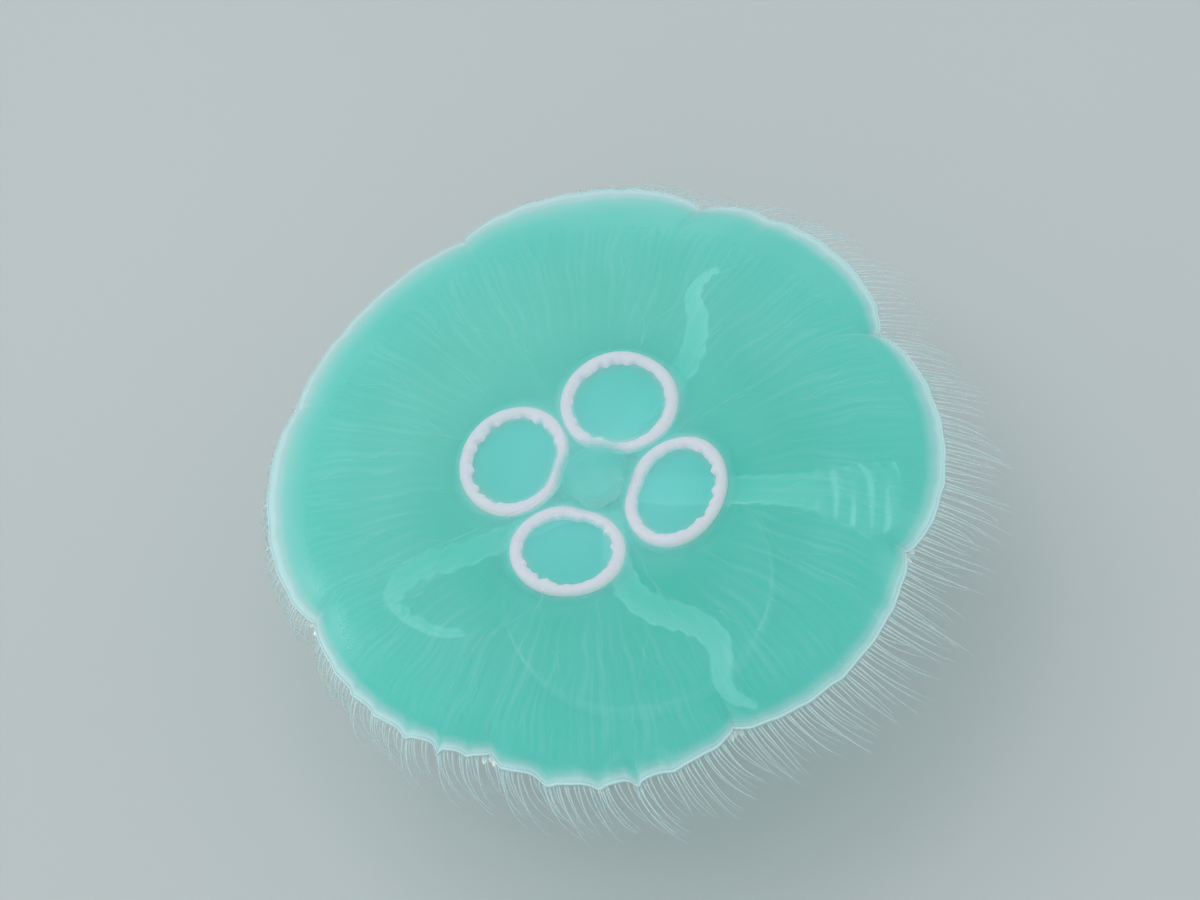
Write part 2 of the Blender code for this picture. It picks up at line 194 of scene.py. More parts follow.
def lens_rows(first: float, rows: int) -> tuple[np.ndarray, np.ndarray]:
    """Rows of a lens: out over its upper face to the rim, and back under it.

    Args:
        first: share of the way to the rim at which the rows start and end.
        rows: rows on the upper face, the rim's own included.

    Returns:
        Two columns: the share of the way to the rim, and 1 above and -1 below.
    """
    share = np.linspace(first, 1, rows)
    share = np.concatenate((share, share[-2::-1]))[:, None]
    return share, np.where(np.arange(len(share)) < rows, 1.0, -1.0)[:, None]


def around(radius: np.ndarray, angle: np.ndarray, height: np.ndarray) -> np.ndarray:
    """Points from distances to the axis, angles and heights: (r cos a, r sin a, z)."""
    radius, angle, height = np.broadcast_arrays(radius, angle, height)
    return np.stack((radius * np.cos(angle), radius * np.sin(angle), height), axis=-1)


def tubes(paths: np.ndarray, radius: np.ndarray, reference: np.ndarray,
          sides: int) -> np.ndarray:
    """Round tubes along many paths at once.

    Across a path stand the unit vectors s = direction × reference and b = s × direction;
    the tube's points are path + radius (s cos q + b sin q), with q running full circle.

    Args:
        paths: (tubes, stations, 3) points.
        radius: tube radii, which broadcast to (tubes, stations).
        reference: a direction never in line with the paths, broadcast to the paths.
        sides: corners of each cross-section.

    Returns:
        (tubes, stations, sides, 3) points.
    """
    direction = unit(np.gradient(paths, axis=1))
    across = unit(np.cross(direction, np.broadcast_to(reference, paths.shape)))
    above = np.cross(across, direction)
    turn = full_turn(sides)[:, None]
    radius = np.broadcast_to(radius, paths.shape[:2])[:, :, None, None]
    ring = across[:, :, None] * np.cos(turn) + above[:, :, None] * np.sin(turn)
    return paths[:, :, None] + radius * ring


def clouds(points: np.ndarray) -> np.ndarray:
    """Soft patches a few centimetres wide: 1/2 + 1/2 sin(u) cos(v), u and v bent waves.

    Args:
        points: (..., 3) points.

    Returns:
        Strengths from 0 to 1.
    """
    x, y = points[..., 0], points[..., 1]
    first = 110 * x + 45 * y + 1.8 * np.sin(70 * y + 0.6)
    second = 95 * y - 35 * x + 1.5 * np.sin(60 * x)
    return 0.5 + 0.5 * np.sin(first) * np.cos(second)


# ---- meshes ----


@dataclass
class Surface:
    """Points and faces gathered from grids, with the values that the points carry."""

    points: list[np.ndarray] = field(default_factory=list)
    faces: list[np.ndarray] = field(default_factory=list)
    values: dict[str, list[np.ndarray]] = field(default_factory=dict)
    count: int = 0

    def add_grids(self, grids: np.ndarray, ends: Ends,
                  **values: np.ndarray | float) -> "Surface":
        """Add grids whose columns close on themselves.

        Neighbouring rows are joined by four-sided faces. With poles, a point at the
        middle of the first and of the last row closes them with triangles. As a ring,
        the last row is joined to the first.

        Args:
            grids: (grids, rows, columns, 3) points, or one grid without the first axis.
            ends: how the first and last rows are closed.
            values: numbers carried by the points, which broadcast to the grids.

        Returns:
            The surface itself.
        """
        grids = grids if grids.ndim == 4 else grids[None]
        total, rows, columns, _ = grids.shape
        size = rows * columns
        joined = rows if ends is Ends.RING else rows - 1
        row = np.arange(joined)[:, None]
        below = (row + 1) % rows
        side = np.arange(columns)[None, :]
        after = (side + 1) % columns
        quads = np.stack((row * columns + side, row * columns + after,
                          below * columns + after, below * columns + side), axis=-1)
        starts = self.count + np.arange(total)[:, None, None] * size
        self.points.append(grids.reshape(-1, 3))
        self.faces.append((quads.reshape(1, -1, 4) + starts).reshape(-1, 4))
        if ends is Ends.POLES:
            first = self.count + np.arange(total)[:, None] * size
            for number, edge in enumerate((0, rows - 1)):
                pole = self.count + total * size + number * total + np.arange(total)[:, None]
                loop = first + edge * columns + side
                following = first + edge * columns + after
                corners = np.broadcast_arrays(pole, following, loop)
                self.faces.append(np.stack(corners, axis=-1).reshape(-1, 3))
                self.points.append(grids[:, edge].mean(axis=1))
        for name, value in values.items():
            spread = np.broadcast_to(value, grids.shape[:3])
            carried = [spread.reshape(-1)]
            if ends is Ends.POLES:
                carried += [spread[:, 0].mean(axis=1), spread[:, -1].mean(axis=1)]
            self.values.setdefault(name, []).append(np.concatenate(carried))
        self.count += total * (size + (2 if ends is Ends.POLES else 0))
        return self

    def build(self, name: str, *materials: bpy.types.Material) -> bpy.types.Object:
        """Make the mesh object, smooth and with its faces turned outwards.

        Args:
            name: the piece's name.
            materials: its material slots in order.

        Returns:
            The object, at the origin.
        """
        mesh = bpy.data.meshes.new(name)
        points = np.concatenate(self.points)
        corners = np.concatenate([faces.ravel() for faces in self.faces])
        sizes = np.concatenate([np.full(len(faces), faces.shape[1]) for faces in self.faces])
        mesh.vertices.add(len(points))
        mesh.vertices.foreach_set("co", points.ravel())
        mesh.loops.add(len(corners))
        mesh.loops.foreach_set("vertex_index", corners.astype(np.int32))
        mesh.polygons.add(len(sizes))
        starts = np.concatenate(([0], np.cumsum(sizes)[:-1]))
        mesh.polygons.foreach_set("loop_start", starts.astype(np.int32))
        mesh.update(calc_edges=True)
        for value_name, parts in self.values.items():
            layer = mesh.attributes.new(value_name, "FLOAT", "POINT")
            layer.data.foreach_set("value", np.concatenate(parts).astype(np.float32))
        for material in materials:
            mesh.materials.append(material)
        turn_outwards(mesh)
        mesh.shade_smooth()
        piece = bpy.data.objects.new(name, mesh)
        bpy.context.scene.collection.objects.link(piece)
        return piece


def turn_outwards(mesh: bpy.types.Mesh) -> None:
    """Turn each closed shell of a mesh so that its faces point out.

    Args:
        mesh: the mesh, which is changed in place.
    """
    shell = bmesh.new()
    shell.from_mesh(mesh)
    bmesh.ops.recalc_face_normals(shell, faces=shell.faces)
    shell.to_mesh(mesh)
    shell.free()


def unite(body: bpy.types.Object, other: bpy.types.Object) -> None:
    """Make one closed surface of two overlapping pieces, and remove the second.

    Args:
        body: the piece that stays.
        other: the piece that becomes part of it.
    """
    union = body.modifiers.new("union", "BOOLEAN")
    union.operation = "UNION"
    union.solver = "MANIFOLD"
    union.object = other
    bpy.context.view_layer.update()
    graph = bpy.context.evaluated_depsgraph_get()
    whole = bpy.data.meshes.new_from_object(body.evaluated_get(graph))
    body.modifiers.clear()
    body.data = whole
    bpy.data.objects.remove(other, do_unlink=True)
    whole.shade_smooth()


def place(piece: bpy.types.Object, slot: Slot, *nodes: str) -> bpy.types.Object:
    """Let a piece ride with the model and hide the nodes it stands for.

    Args:
        piece: the finished piece.
        slot: the record's material slot; not used.
        nodes: solids that it replaces.

    Returns:
        The same piece.
    """
    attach(piece, "root")
    if nodes:
        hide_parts(*nodes)
    faces = len(piece.data.polygons)
    LOG.info("%s: %d points, %d faces", piece.name, len(piece.data.vertices), faces)
    return piece


# ---- finishes ----


Socket = bpy.types.NodeSocket
Value = float | tuple[float, ...] | Socket


class Shader:
    """A Principled material whose pattern is built up one node at a time."""

    def __init__(self, name: str, **settings: Value) -> None:
        """Start a material.

        Args:
            name: the material's name.
            settings: inputs of the Principled shader, with _ for each space.
        """
        self.material = bpy.data.materials.new(name)
        self.material.use_nodes = True
        self.tree = self.material.node_tree
        self.principled = self.tree.nodes["Principled BSDF"]
        self.set(**settings)

    def set(self, **settings: Value) -> None:
        """Give inputs of the Principled shader, by name with _ for each space."""
        for key, value in settings.items():
            self.plug(self.principled.inputs[key.replace("_", " ")], value)

    def plug(self, socket: Socket, value: Value) -> None:
        """Link a socket to another, or set its own number or colour.

        Args:
            socket: the input to fill.
            value: what it gets.
        """
        if isinstance(value, Socket):
            self.tree.links.new(value, socket)
        elif isinstance(value, tuple) and len(value) < len(socket.default_value):
            socket.default_value = (*value, 1.0)
        else:
            socket.default_value = value

    def node(self, kind: str, inputs: dict[int | str, Value],
             **options: object) -> bpy.types.Node:
        """Add a node.

        Args:
            kind: the node's type, without its ShaderNode prefix.
            inputs: values for its inputs, by number or name.
            options: the node's own properties.

        Returns:
            The node.
        """
        made = self.tree.nodes.new("ShaderNode" + kind)
        for option, value in options.items():
            setattr(made, option, value)
        for key, value in inputs.items():
            self.plug(made.inputs[key], value)
        return made

    def math(self, operation: str, *values: Value, clamp: bool = False) -> Socket:
        """The result of a Math node on its one, two or three values."""
        inputs = dict(enumerate(values))
        return self.node("Math", inputs, operation=operation, use_clamp=clamp).outputs[0]

    def plus(self, first: Value, second: Value) -> Socket:
        """The sum of two values."""
        return self.math("ADD", first, second)

    def times(self, first: Value, second: Value) -> Socket:
        """The product of two values."""
        return self.math("MULTIPLY", first, second)

    def ease(self, value: Value, low: float, high: float, start: float = 0.0,
             end: float = 1.0) -> Socket:
        """Ease smoothly from start at low to end at high.

        Args:
            value: where to read the ease.
            low: value up to which it is start.
            high: value from which it is end.
            start: its first value.
            end: its last value.

        Returns:
            The eased value.
        """
        inputs = {"Value": value, "From Min": low, "From Max": high, "To Min": start,
                  "To Max": end}
        made = self.node("MapRange", inputs, interpolation_type="SMOOTHSTEP")
        return made.outputs["Result"]

    def mix(self, share: Value, first: Value, second: Value) -> Socket:
        """Blend two colours."""
        made = self.node("Mix", {0: share, 6: first, 7: second}, data_type="RGBA")
        return made.outputs[2]

    def attribute(self, name: str) -> Socket:
        """The number that the mesh's points carry under a name."""
        made = self.node("Attribute", {}, attribute_name=name, attribute_type="GEOMETRY")
        return made.outputs["Fac"]

    def position(self) -> Socket:
        """The point's place in the object's own coordinates."""
        return self.node("TexCoord", {}).outputs["Object"]

    def noise(self, scale: float, detail: float = 3.0,
              stretch: tuple[float, float, float] = (1, 1, 1)) -> Socket:
        """Soft noise between 0 and 1 over the object's own coordinates.

        Args:
            scale: how many patches there are to a metre.
            detail: how many finer layers it has.
            stretch: factors on the three coordinates, below 1 to draw it out.

        Returns:
            The noise's value.
        """
        drawn = self.node("Mapping", {"Vector": self.position(), "Scale": stretch}).outputs[0]
        inputs = {"Vector": drawn, "Scale": scale, "Detail": detail}
        return self.node("TexNoise", inputs).outputs[0]

    def bump(self, height: Value, distance: float, strength: float = 1.0) -> None:
        """Raise the surface by a pattern of the given depth in metres."""
        inputs = {"Height": height, "Distance": distance, "Strength": strength}
        self.set(Normal=self.node("Bump", inputs).outputs[0])

    def facing(self, blend: float) -> Socket:
        """Near 0 where the surface is seen straight on, and 1 at its edges."""
        return self.node("LayerWeight", {"Blend": blend}).outputs["Facing"]

    def angle(self) -> Socket:
        """The angle round the bell's axis, in radians."""
        parts = self.node("SeparateXYZ", {0: self.position()}).outputs
        return self.math("ARCTAN2", parts[1], parts[0])


@dataclass(frozen=True)
class JellySkin:
    """Clear wet jelly: tinted sea green, streaked below and whiter at the margin, with a
    painted sheen on one side and a painted glow in the tissue of the oral arms.

    A span is the pair of values between which an ease runs, and any other pair gives
    its results at those two ends. Covers are shares of light that a layer stops.
    """

    tint: Colour = (0.004, 0.61, 0.475)
    haze: Colour = (0.09, 0.68, 0.60)
    gastric: Colour = (0.50, 0.85, 0.95)
    milk: Colour = (0.66, 0.86, 0.87)
    rim_milk: Colour = (0.58, 0.85, 0.86)
    tissue: Colour = (0.82, 0.93, 0.93)
    top_cover: float = 0.22
    under_cover: float = 0.67
    rim_cover: float = 0.70
    tissue_cover: float = 0.90
    sheer_cover: float = 0.38
    thread_cover: float = 0.05
    shoulder_cover: float = 0.10
    frill_cover: float = 0.08
    limb_cover: Pair = (0.45, 0.06)
    limb_blend: float = 0.35
    cloud_haze: float = 0.35
    shoulder_haze: float = 0.7
    thread_milk: float = 0.18
    tissue_milk: float = 0.15
    frill_milk: float = 0.5
    middle_gastric: float = 0.50
    patch_span: Span = (0.1, 0.8)
    patch_strength: Pair = (0.45, 1.0)
    fine_streaks: float = 184
    fine_span: Span = (0.54, 0.80)
    coarse_streaks: float = 92
    coarse_span: Span = (0.40, 0.66)
    streak_sharpness: float = 2.4
    streak_fade: Span = (0.88, 0.975)
    strong_streaks: float = 37
    weak_streak: float = 0.35
    wander: float = 11
    wander_scale: float = 42
    shoulder_span: Span = (0.55, 1.0)
    middle_span: Span = (0.10, 0.45)
    rim_span: Span = (0.938, 0.992)
    # painted sheen on one side of the bell: the white rim widened there and a milky band inside
    # it
    rim_sheen_lean: float = 0.014
    sheen_side_at: float = 110.0
    sheen_band_span: Span = (0.85, 0.97)
    sheen_band_milk: float = 0.38
    # painted glow of the oral arms' tissue: at its frilled edges and along its strands
    edge_span: Span = (0.35, 1.0)
    edge_glow: Pair = (0.15, 0.32)
    strand_glow: float = 0.32
    roughness: Pair = (0.30, 0.50)
    grain_scale: float = 420
    grain_depth: float = 0.10 * MM

    def streaks(self, shader: Shader, share: Socket) -> Socket:
        """Fine wavy threads that run out from the axis.

        A thread is (1/2 + 1/2 cos(n a + w)) to the power of its sharpness, with n threads
        round the bell, a the angle and w a soft wander. The coarse ones give way to twice
        as many towards the margin, and a slower wave makes some stronger than others.

        Args:
            shader: the material being built.
            share: how far out each point lies, from 0 to 1.

        Returns:
            The strength of the threads, from 0 to 1.
        """
        angle = shader.angle()
        wander = shader.times(shader.noise(self.wander_scale, 1.0), self.wander)
        bands = []
        for number, span in ((self.coarse_streaks, self.coarse_span),
                             (self.fine_streaks, self.fine_span)):
            turn = shader.plus(shader.times(angle, number), wander)
            wave = shader.math("MULTIPLY_ADD", shader.math("COSINE", turn), 0.5, 0.5)
            thread = shader.math("POWER", wave, self.streak_sharpness)
            bands.append(shader.times(thread, shader.ease(share, *span)))
        slow = shader.plus(shader.times(angle, self.strong_streaks), wander)
        uneven = shader.ease(shader.math("COSINE", slow), -1.0, 1.0, self.weak_streak, 1.0)
        fade = shader.ease(share, *self.streak_fade, 1.0, 0.0)
        return shader.times(shader.math("MAXIMUM", *bands), shader.times(fade, uneven))

    def rim(self, shader: Shader, share: Socket) -> tuple[Socket, Socket]:
        """The white rim, and a painted sheen on one side of the bell: a soft milky band inside
        the rim.

        Both follow the cosine of the angle from the side of the painted sheen, where the rim is
        also widened.

        Args:
            shader: the material being built.
            share: how far out each point lies, from 0 to 1.

        Returns:
            The strengths of the rim and of the painted sheen band.
        """
        # painted sheen: the rim whiter and wider on one side of the bell
        turn = shader.math("SUBTRACT", shader.angle(), math.radians(self.sheen_side_at))
        wide = shader.math("COSINE", turn)
        lean = shader.times(wide, self.rim_sheen_lean)
        sheen_band = shader.ease(share, *self.sheen_band_span, 0.0, self.sheen_band_milk)
        return (shader.ease(shader.plus(share, lean), *self.rim_span),
                shader.times(sheen_band, shader.ease(wide, 0.0, 0.9)))

    def build(self) -> bpy.types.Material:
        """Make the material; it reads the values that the skin's points carry.

        Returns:
            The material.
        """
        shader = Shader("clear_jelly", IOR=1.36, Coat_Weight=0.16, Coat_Roughness=0.22,
                        Emission_Strength=1.0, Sheen_Weight=0.6, Sheen_Roughness=0.4,
                        Sheen_Tint=(0.80, 0.96, 0.95))
        share, under, tissue, frill, sheer, strand, cloud = (
            shader.attribute(name)
            for name in ("share", "under", "tissue", "frill", "sheer", "strand", "cloud"))
        patchy = shader.ease(cloud, *self.patch_span, *self.patch_strength)
        patchy = shader.times(under, patchy)
        threads = shader.times(self.streaks(shader, share), patchy)
        rim, sheen_band = self.rim(shader, share)
        shoulder = shader.ease(share, *self.shoulder_span)
        middle = shader.ease(share, *self.middle_span, self.middle_gastric, 0.0)
        middle = shader.times(under, middle)

        body = self.tint
        for strength, colour in ((shader.times(cloud, self.cloud_haze), self.haze),
                                 (shader.times(shoulder, self.shoulder_haze), self.haze),
                                 (shader.times(threads, self.thread_milk), self.milk),
                                 (middle, self.gastric),
                                 (sheen_band, self.rim_milk),
                                 (rim, self.rim_milk)):
            body = shader.mix(strength, body, colour)
        pale = shader.math("MULTIPLY_ADD", frill, self.frill_milk, self.tissue_milk)
        flesh = shader.mix(pale, self.tissue, self.milk)
        # painted glow: the tissue of the oral arms and the manubrium gives off light through
        # its emission, strongest at the frilled edges and the strands
        edges = shader.ease(frill, *self.edge_span, *self.edge_glow)
        glow = shader.plus(edges, shader.times(strand, self.strand_glow))
        painted_glow = shader.mix(shader.times(tissue, glow), (0.0, 0.0, 0.0), flesh)

        clear = shader.ease(under, 0.0, 1.0, self.top_cover, self.under_cover)
        clear = shader.plus(clear, shader.times(threads, self.thread_cover))
        clear = shader.plus(clear, shader.times(shoulder, self.shoulder_cover))
        limb = shader.ease(under, 0.0, 1.0, *self.limb_cover)
        clear = shader.plus(clear, shader.times(shader.facing(self.limb_blend), limb))
        clear = shader.math("MAXIMUM", clear, shader.times(rim, self.rim_cover), clamp=True)
        fleshy = shader.plus(self.tissue_cover, shader.times(frill, self.frill_cover))
        fleshy = shader.times(fleshy, shader.ease(sheer, 0.0, 1.0, 1.0, self.sheer_cover))
        cover = shader.node("Mix", {0: tissue, 2: clear, 3: fleshy}, data_type="FLOAT")

        shader.bump(shader.noise(self.grain_scale, 1.0), self.grain_depth, 0.5)
        shader.set(Base_Color=shader.mix(tissue, body, flesh), Alpha=cover.outputs[0],
                   Emission_Color=painted_glow,
                   Roughness=shader.ease(under, 0.0, 1.0, *self.roughness))
        return shader.material


@dataclass(frozen=True)
class Tissue:
    """Soft pale tissue, cloudy and a little see-through.

    Its cover follows the mesh's value that carried names, and its colour turns into the
    second by the one that blended names. Without blended, soft patches do that.
    """

    name: str
    colour: Colour
    second: Colour
    cover: float = 1.0
    patches: float = 160.0
    roughness: float = 0.35
    soft: float = 0.0
    carried: str = ""
    blended: str = ""

    def build(self) -> bpy.types.Material:
        """Make the material.

        Returns:
            The material.
        """
        shader = Shader(self.name, Roughness=self.roughness, IOR=1.38, Coat_Weight=0.3,
                        Coat_Roughness=0.12, Subsurface_Weight=self.soft,
                        Subsurface_Scale=0.004)
        patch = shader.ease(shader.noise(self.patches, 3.0), 0.3, 0.7)
        if self.blended:
            grain = shader.times(patch, 0.25)
            patch = shader.math("SUBTRACT", shader.attribute(self.blended), grain, clamp=True)
        shader.set(Base_Color=shader.mix(patch, self.colour, self.second))
        if self.carried:
            carried = shader.attribute(self.carried)
            shader.set(Alpha=shader.times(carried, self.cover))
        elif self.cover < 1:
            shader.set(Alpha=self.cover)
        shader.bump(shader.noise(self.patches * 4, 2.0), 0.15 * MM, 0.5)
        return shader.material


@dataclass(frozen=True)
class GonadTissue:
    """Lavender-white folded tissue, a little yellow on its outer underside, with a faint
    painted glow.
    """

    white: Colour = (1.0, 0.76, 0.88)
    lavender: Colour = (0.96, 0.66, 0.84)
    yellow: Colour = (0.96, 0.82, 0.62)

    def build(self) -> bpy.types.Material:
        """Make the material; it reads low_side and fold from the mesh.

        Returns:
            The material.
        """
        # painted glow: the rings give off faint white light through their emission
        shader = Shader("gonad_tissue", Roughness=0.42, IOR=1.38, Coat_Weight=0.25,
                        Coat_Roughness=0.15, Subsurface_Weight=0.35,
                        Subsurface_Scale=0.003, Emission_Strength=0.12,
                        Emission_Color=(*self.white, 1.0))
        fold = shader.attribute("fold")
        colour = shader.mix(shader.ease(fold, 0.0, 1.0, 0.75, 0.0), self.white, self.lavender)
        grain = shader.ease(shader.noise(520, 3.0), 0.35, 0.65, 0.0, 0.35)
        colour = shader.mix(grain, colour, self.lavender)
        low = shader.ease(shader.attribute("low_side"), 0.2, 1.0, 0.0, 0.55)
        shader.set(Base_Color=shader.mix(low, colour, self.yellow))
        shader.bump(shader.noise(900, 2.0), 0.2 * MM, 0.6)
        return shader.material


@dataclass(frozen=True)
class Lacquer:
    """Pale satin lacquer on the stand's base."""

    colour: Colour = (0.50, 0.54, 0.54)
    mottle: Colour = (0.46, 0.50, 0.50)

    def build(self) -> bpy.types.Material:
        """Make the material: faint mottling and the fine ripple of a sprayed coat.

        Returns:
            The material.
        """
        shader = Shader("pale_lacquer", Coat_Weight=0.4, Coat_Roughness=0.2)
        mottled = shader.ease(shader.noise(70, 4.0), 0.3, 0.7)
        shader.set(Base_Color=shader.mix(mottled, self.colour, self.mottle),
                   Roughness=shader.ease(shader.noise(300, 2.0), 0.3, 0.7, 0.34, 0.44))
        shader.bump(shader.noise(1400, 2.0), 0.03 * MM, 0.5)
        return shader.material


@dataclass(frozen=True)
class BrushedSteel:
    """Steel brushed round the rod."""

    colour: Colour = (0.62, 0.63, 0.64)
    bright: Colour = (0.72, 0.73, 0.74)

    def build(self) -> bpy.types.Material:
        """Make the material: fine lines round the rod in colour, gloss and relief.

        Returns:
            The material.
        """
        shader = Shader("brushed_steel", Metallic=1.0, Anisotropic=0.4)
        lines = shader.noise(500, 2.0, stretch=(0.15, 0.15, 6.0))
        shader.set(Base_Color=shader.mix(lines, self.colour, self.bright),
                   Roughness=shader.ease(lines, 0.2, 0.8, 0.24, 0.38))
        shader.bump(lines, 0.02 * MM, 0.6)
        return shader.material


@dataclass(frozen=True)
class StudioPaper:
    """The plain pale floor."""

    colour: Colour = (0.50, 0.54, 0.54)
    second: Colour = (0.49, 0.53, 0.53)

    def build(self) -> bpy.types.Material:
        """Make the material: matt, with the faintest clouding.

        Returns:
            The material.
        """
        shader = Shader("studio_paper", Roughness=0.9, Specular_IOR_Level=0.2)
        shader.set(Base_Color=shader.mix(shader.noise(3, 2.0), self.colour, self.second))
        return shader.material


# ---- the bell ----


@dataclass(frozen=True)
class BellForm:
    """The dome's shape, which the other organs are fitted to.

    The radii of notches and lobes and the depth of the dent are in millimetres, and run
    anticlockwise from the notch over the first oral arm.
    """

    top: float
    radius: float = 120 * MM
    rise: float = 30 * MM
    cap_share: float = 0.45
    shoulder_power: float = 7
    jelly_middle: float = 25 * MM
    jelly_rim: float = 1.6 * MM
    jelly_power: float = 1.3
    notch_radii: tuple[float, ...] = (113.5, 116.5, 118.0, 119.0, 112.0, 110.5, 112.0, 116.0)
    lobe_radii: tuple[float, ...] = (124.5, 125.5, 121.5, 121.5, 115.5, 118.0, 120.0, 124.5)
    lobe_roundness: float = 0.6
    notch_reach: int = 6
    lobe_sag: float = 2.0 * MM
    dent_lobe: int = 0
    dent_at: float = 0.72
    dent_depth: float = 1.5
    dent_width: float = 0.05
    ruffles: int = 52
    ruffle_waves: tuple[Wave, ...] = ((1.5, 5, 1), (0.8, 13, 0))
    ruffle_depth: float = 0.30 * MM
    ruffle_span: Span = (0.925, 0.978)
    notch_ruffle: float = 0.25
    fold_depth: float = 1.45 * MM
    folded_at: float = 229.0
    folded_reach: float = 30.0

    @property
    def margin(self) -> float:
        """Height of the margin's plane."""
        return self.top - self.rise

    def lobe_place(self, angle: np.ndarray) -> tuple[np.ndarray, np.ndarray]:
        """Which lobe an angle falls in, and how far across it, from 0 to 1.

        Args:
            angle: angles round the axis.

        Returns:
            The lobes' numbers from 0, and the places across them.
        """
        turns = (np.asarray(angle) / LOBE_ANGLE) % LOBES
        lobe = np.minimum(np.floor(turns), LOBES - 1).astype(int)
        return lobe, np.clip(turns - lobe, 0, 1)

    def outline(self, angle: np.ndarray) -> np.ndarray:
        """The margin's distance from the axis: full lobes between sharp notches.

        Across a lobe, with u from 0 to 1, it runs evenly from one notch's radius to the
        next, plus the lobe's bulge times (4u(1 - u)) to the power of its roundness. One
        lobe has a small dent, a bell curve about its place.

        Args:
            angle: angles round the axis.

        Returns:
            Distances in metres.
        """
        lobe, across = self.lobe_place(angle)
        notches = np.array(self.notch_radii)
        first, second = notches[lobe], notches[(lobe + 1) % LOBES]
        bulge = np.array(self.lobe_radii)[lobe] - (first + second) / 2
        bulge = bulge * hump(across) ** self.lobe_roundness
        dent = self.dent_depth * np.exp(-((across - self.dent_at) / self.dent_width) ** 2)
        dent = dent * (lobe == self.dent_lobe)
        return (first + (second - first) * across + bulge - dent) * MM

    def ruffle(self, angle: np.ndarray) -> np.ndarray:
        """How far the margin's small folds shift it from its smooth line.

        With p the phase of n uneven waves round the bell and d their depth, it moves out
        by d(sin p + sin(2p)/3), sideways by 1.2 d cos p, so that the crests lean over, and
        down by d(1 + sin(p + 1)). The depth comes and goes in a slower wave, falls to a
        quarter in the notches, and is greatest along the stretch that is crumpled.

        Args:
            angle: angles round the axis.

        Returns:
            Shifts in metres, with x, y and z in the last axis.
        """
        across = self.lobe_place(angle)[1]
        phase = waves(angle, self.ruffle_waves, level=self.ruffles * angle)
        away = wrapped(angle - math.radians(self.folded_at)) / math.radians(self.folded_reach)
        depth = self.ruffle_depth + (self.fold_depth - self.ruffle_depth) * np.exp(-away ** 4)
        lobed = self.notch_ruffle + (1 - self.notch_ruffle) * np.sqrt(hump(across))
        depth *= lobed * (0.70 + 0.30 * np.sin(19 * angle))
        outward, sideways = compass(angle)
        level = (outward * (depth * (np.sin(phase) + np.sin(2 * phase) / 3))[..., None]
                 + sideways * (1.2 * depth * np.cos(phase))[..., None])
        return raised(level, -depth * (1 + np.sin(phase + 1)))

    def ruffled(self, points: np.ndarray, share: np.ndarray, angle: np.ndarray) -> np.ndarray:
        """Points moved with the margin's folds, which fade out on the way in from it."""
        return points + smoothstep(share, *self.ruffle_span)[..., None] * self.ruffle(angle)

    def share(self, radius: np.ndarray, angle: np.ndarray) -> np.ndarray:
        """How far out a point lies: 0 on the axis and 1 on the margin.

        It is r/R (1 + (R/e - 1)(r/e)ⁿ), with e the margin's own radius there.

        Args:
            radius: distances from the axis.
            angle: angles round the axis.

        Returns:
            Shares, a little over 1 outside the margin.
        """
        edge = self.outline(angle)
        pull = (self.radius / edge - 1) * (radius / edge) ** self.notch_reach
        return radius / self.radius * (1 + pull)

    def upper(self, radius: np.ndarray, angle: np.ndarray) -> np.ndarray:
        """Height of the dome: a round cap 1 - s², a steep shoulder 1 - s⁷ and sagging lobes.

        Args:
            radius: distances from the axis.
            angle: angles round the axis.

        Returns:
            Heights in metres.
        """
        share = self.share(radius, angle)
        cap = self.cap_share * (1 - share ** 2)
        shoulder = (1 - self.cap_share) * (1 - share ** self.shoulder_power)
        across = self.lobe_place(angle)[1]
        sag = self.lobe_sag * np.sin(math.pi * across) ** 2 * share ** self.notch_reach
        return self.margin + self.rise * (cap + shoulder) - sag

    def lower(self, radius: np.ndarray, angle: np.ndarray) -> np.ndarray:
        """Height of the under surface: the dome less jelly that thins as (1 - s²)ⁿ.

        Args:
            radius: distances from the axis.
            angle: angles round the axis.

        Returns:
            Heights in metres.
        """
        share = np.minimum(self.share(radius, angle), 1)
        swell = (self.jelly_middle - self.jelly_rim) * (1 - share ** 2) ** self.jelly_power
        return self.upper(radius, angle) - self.jelly_rim - swell


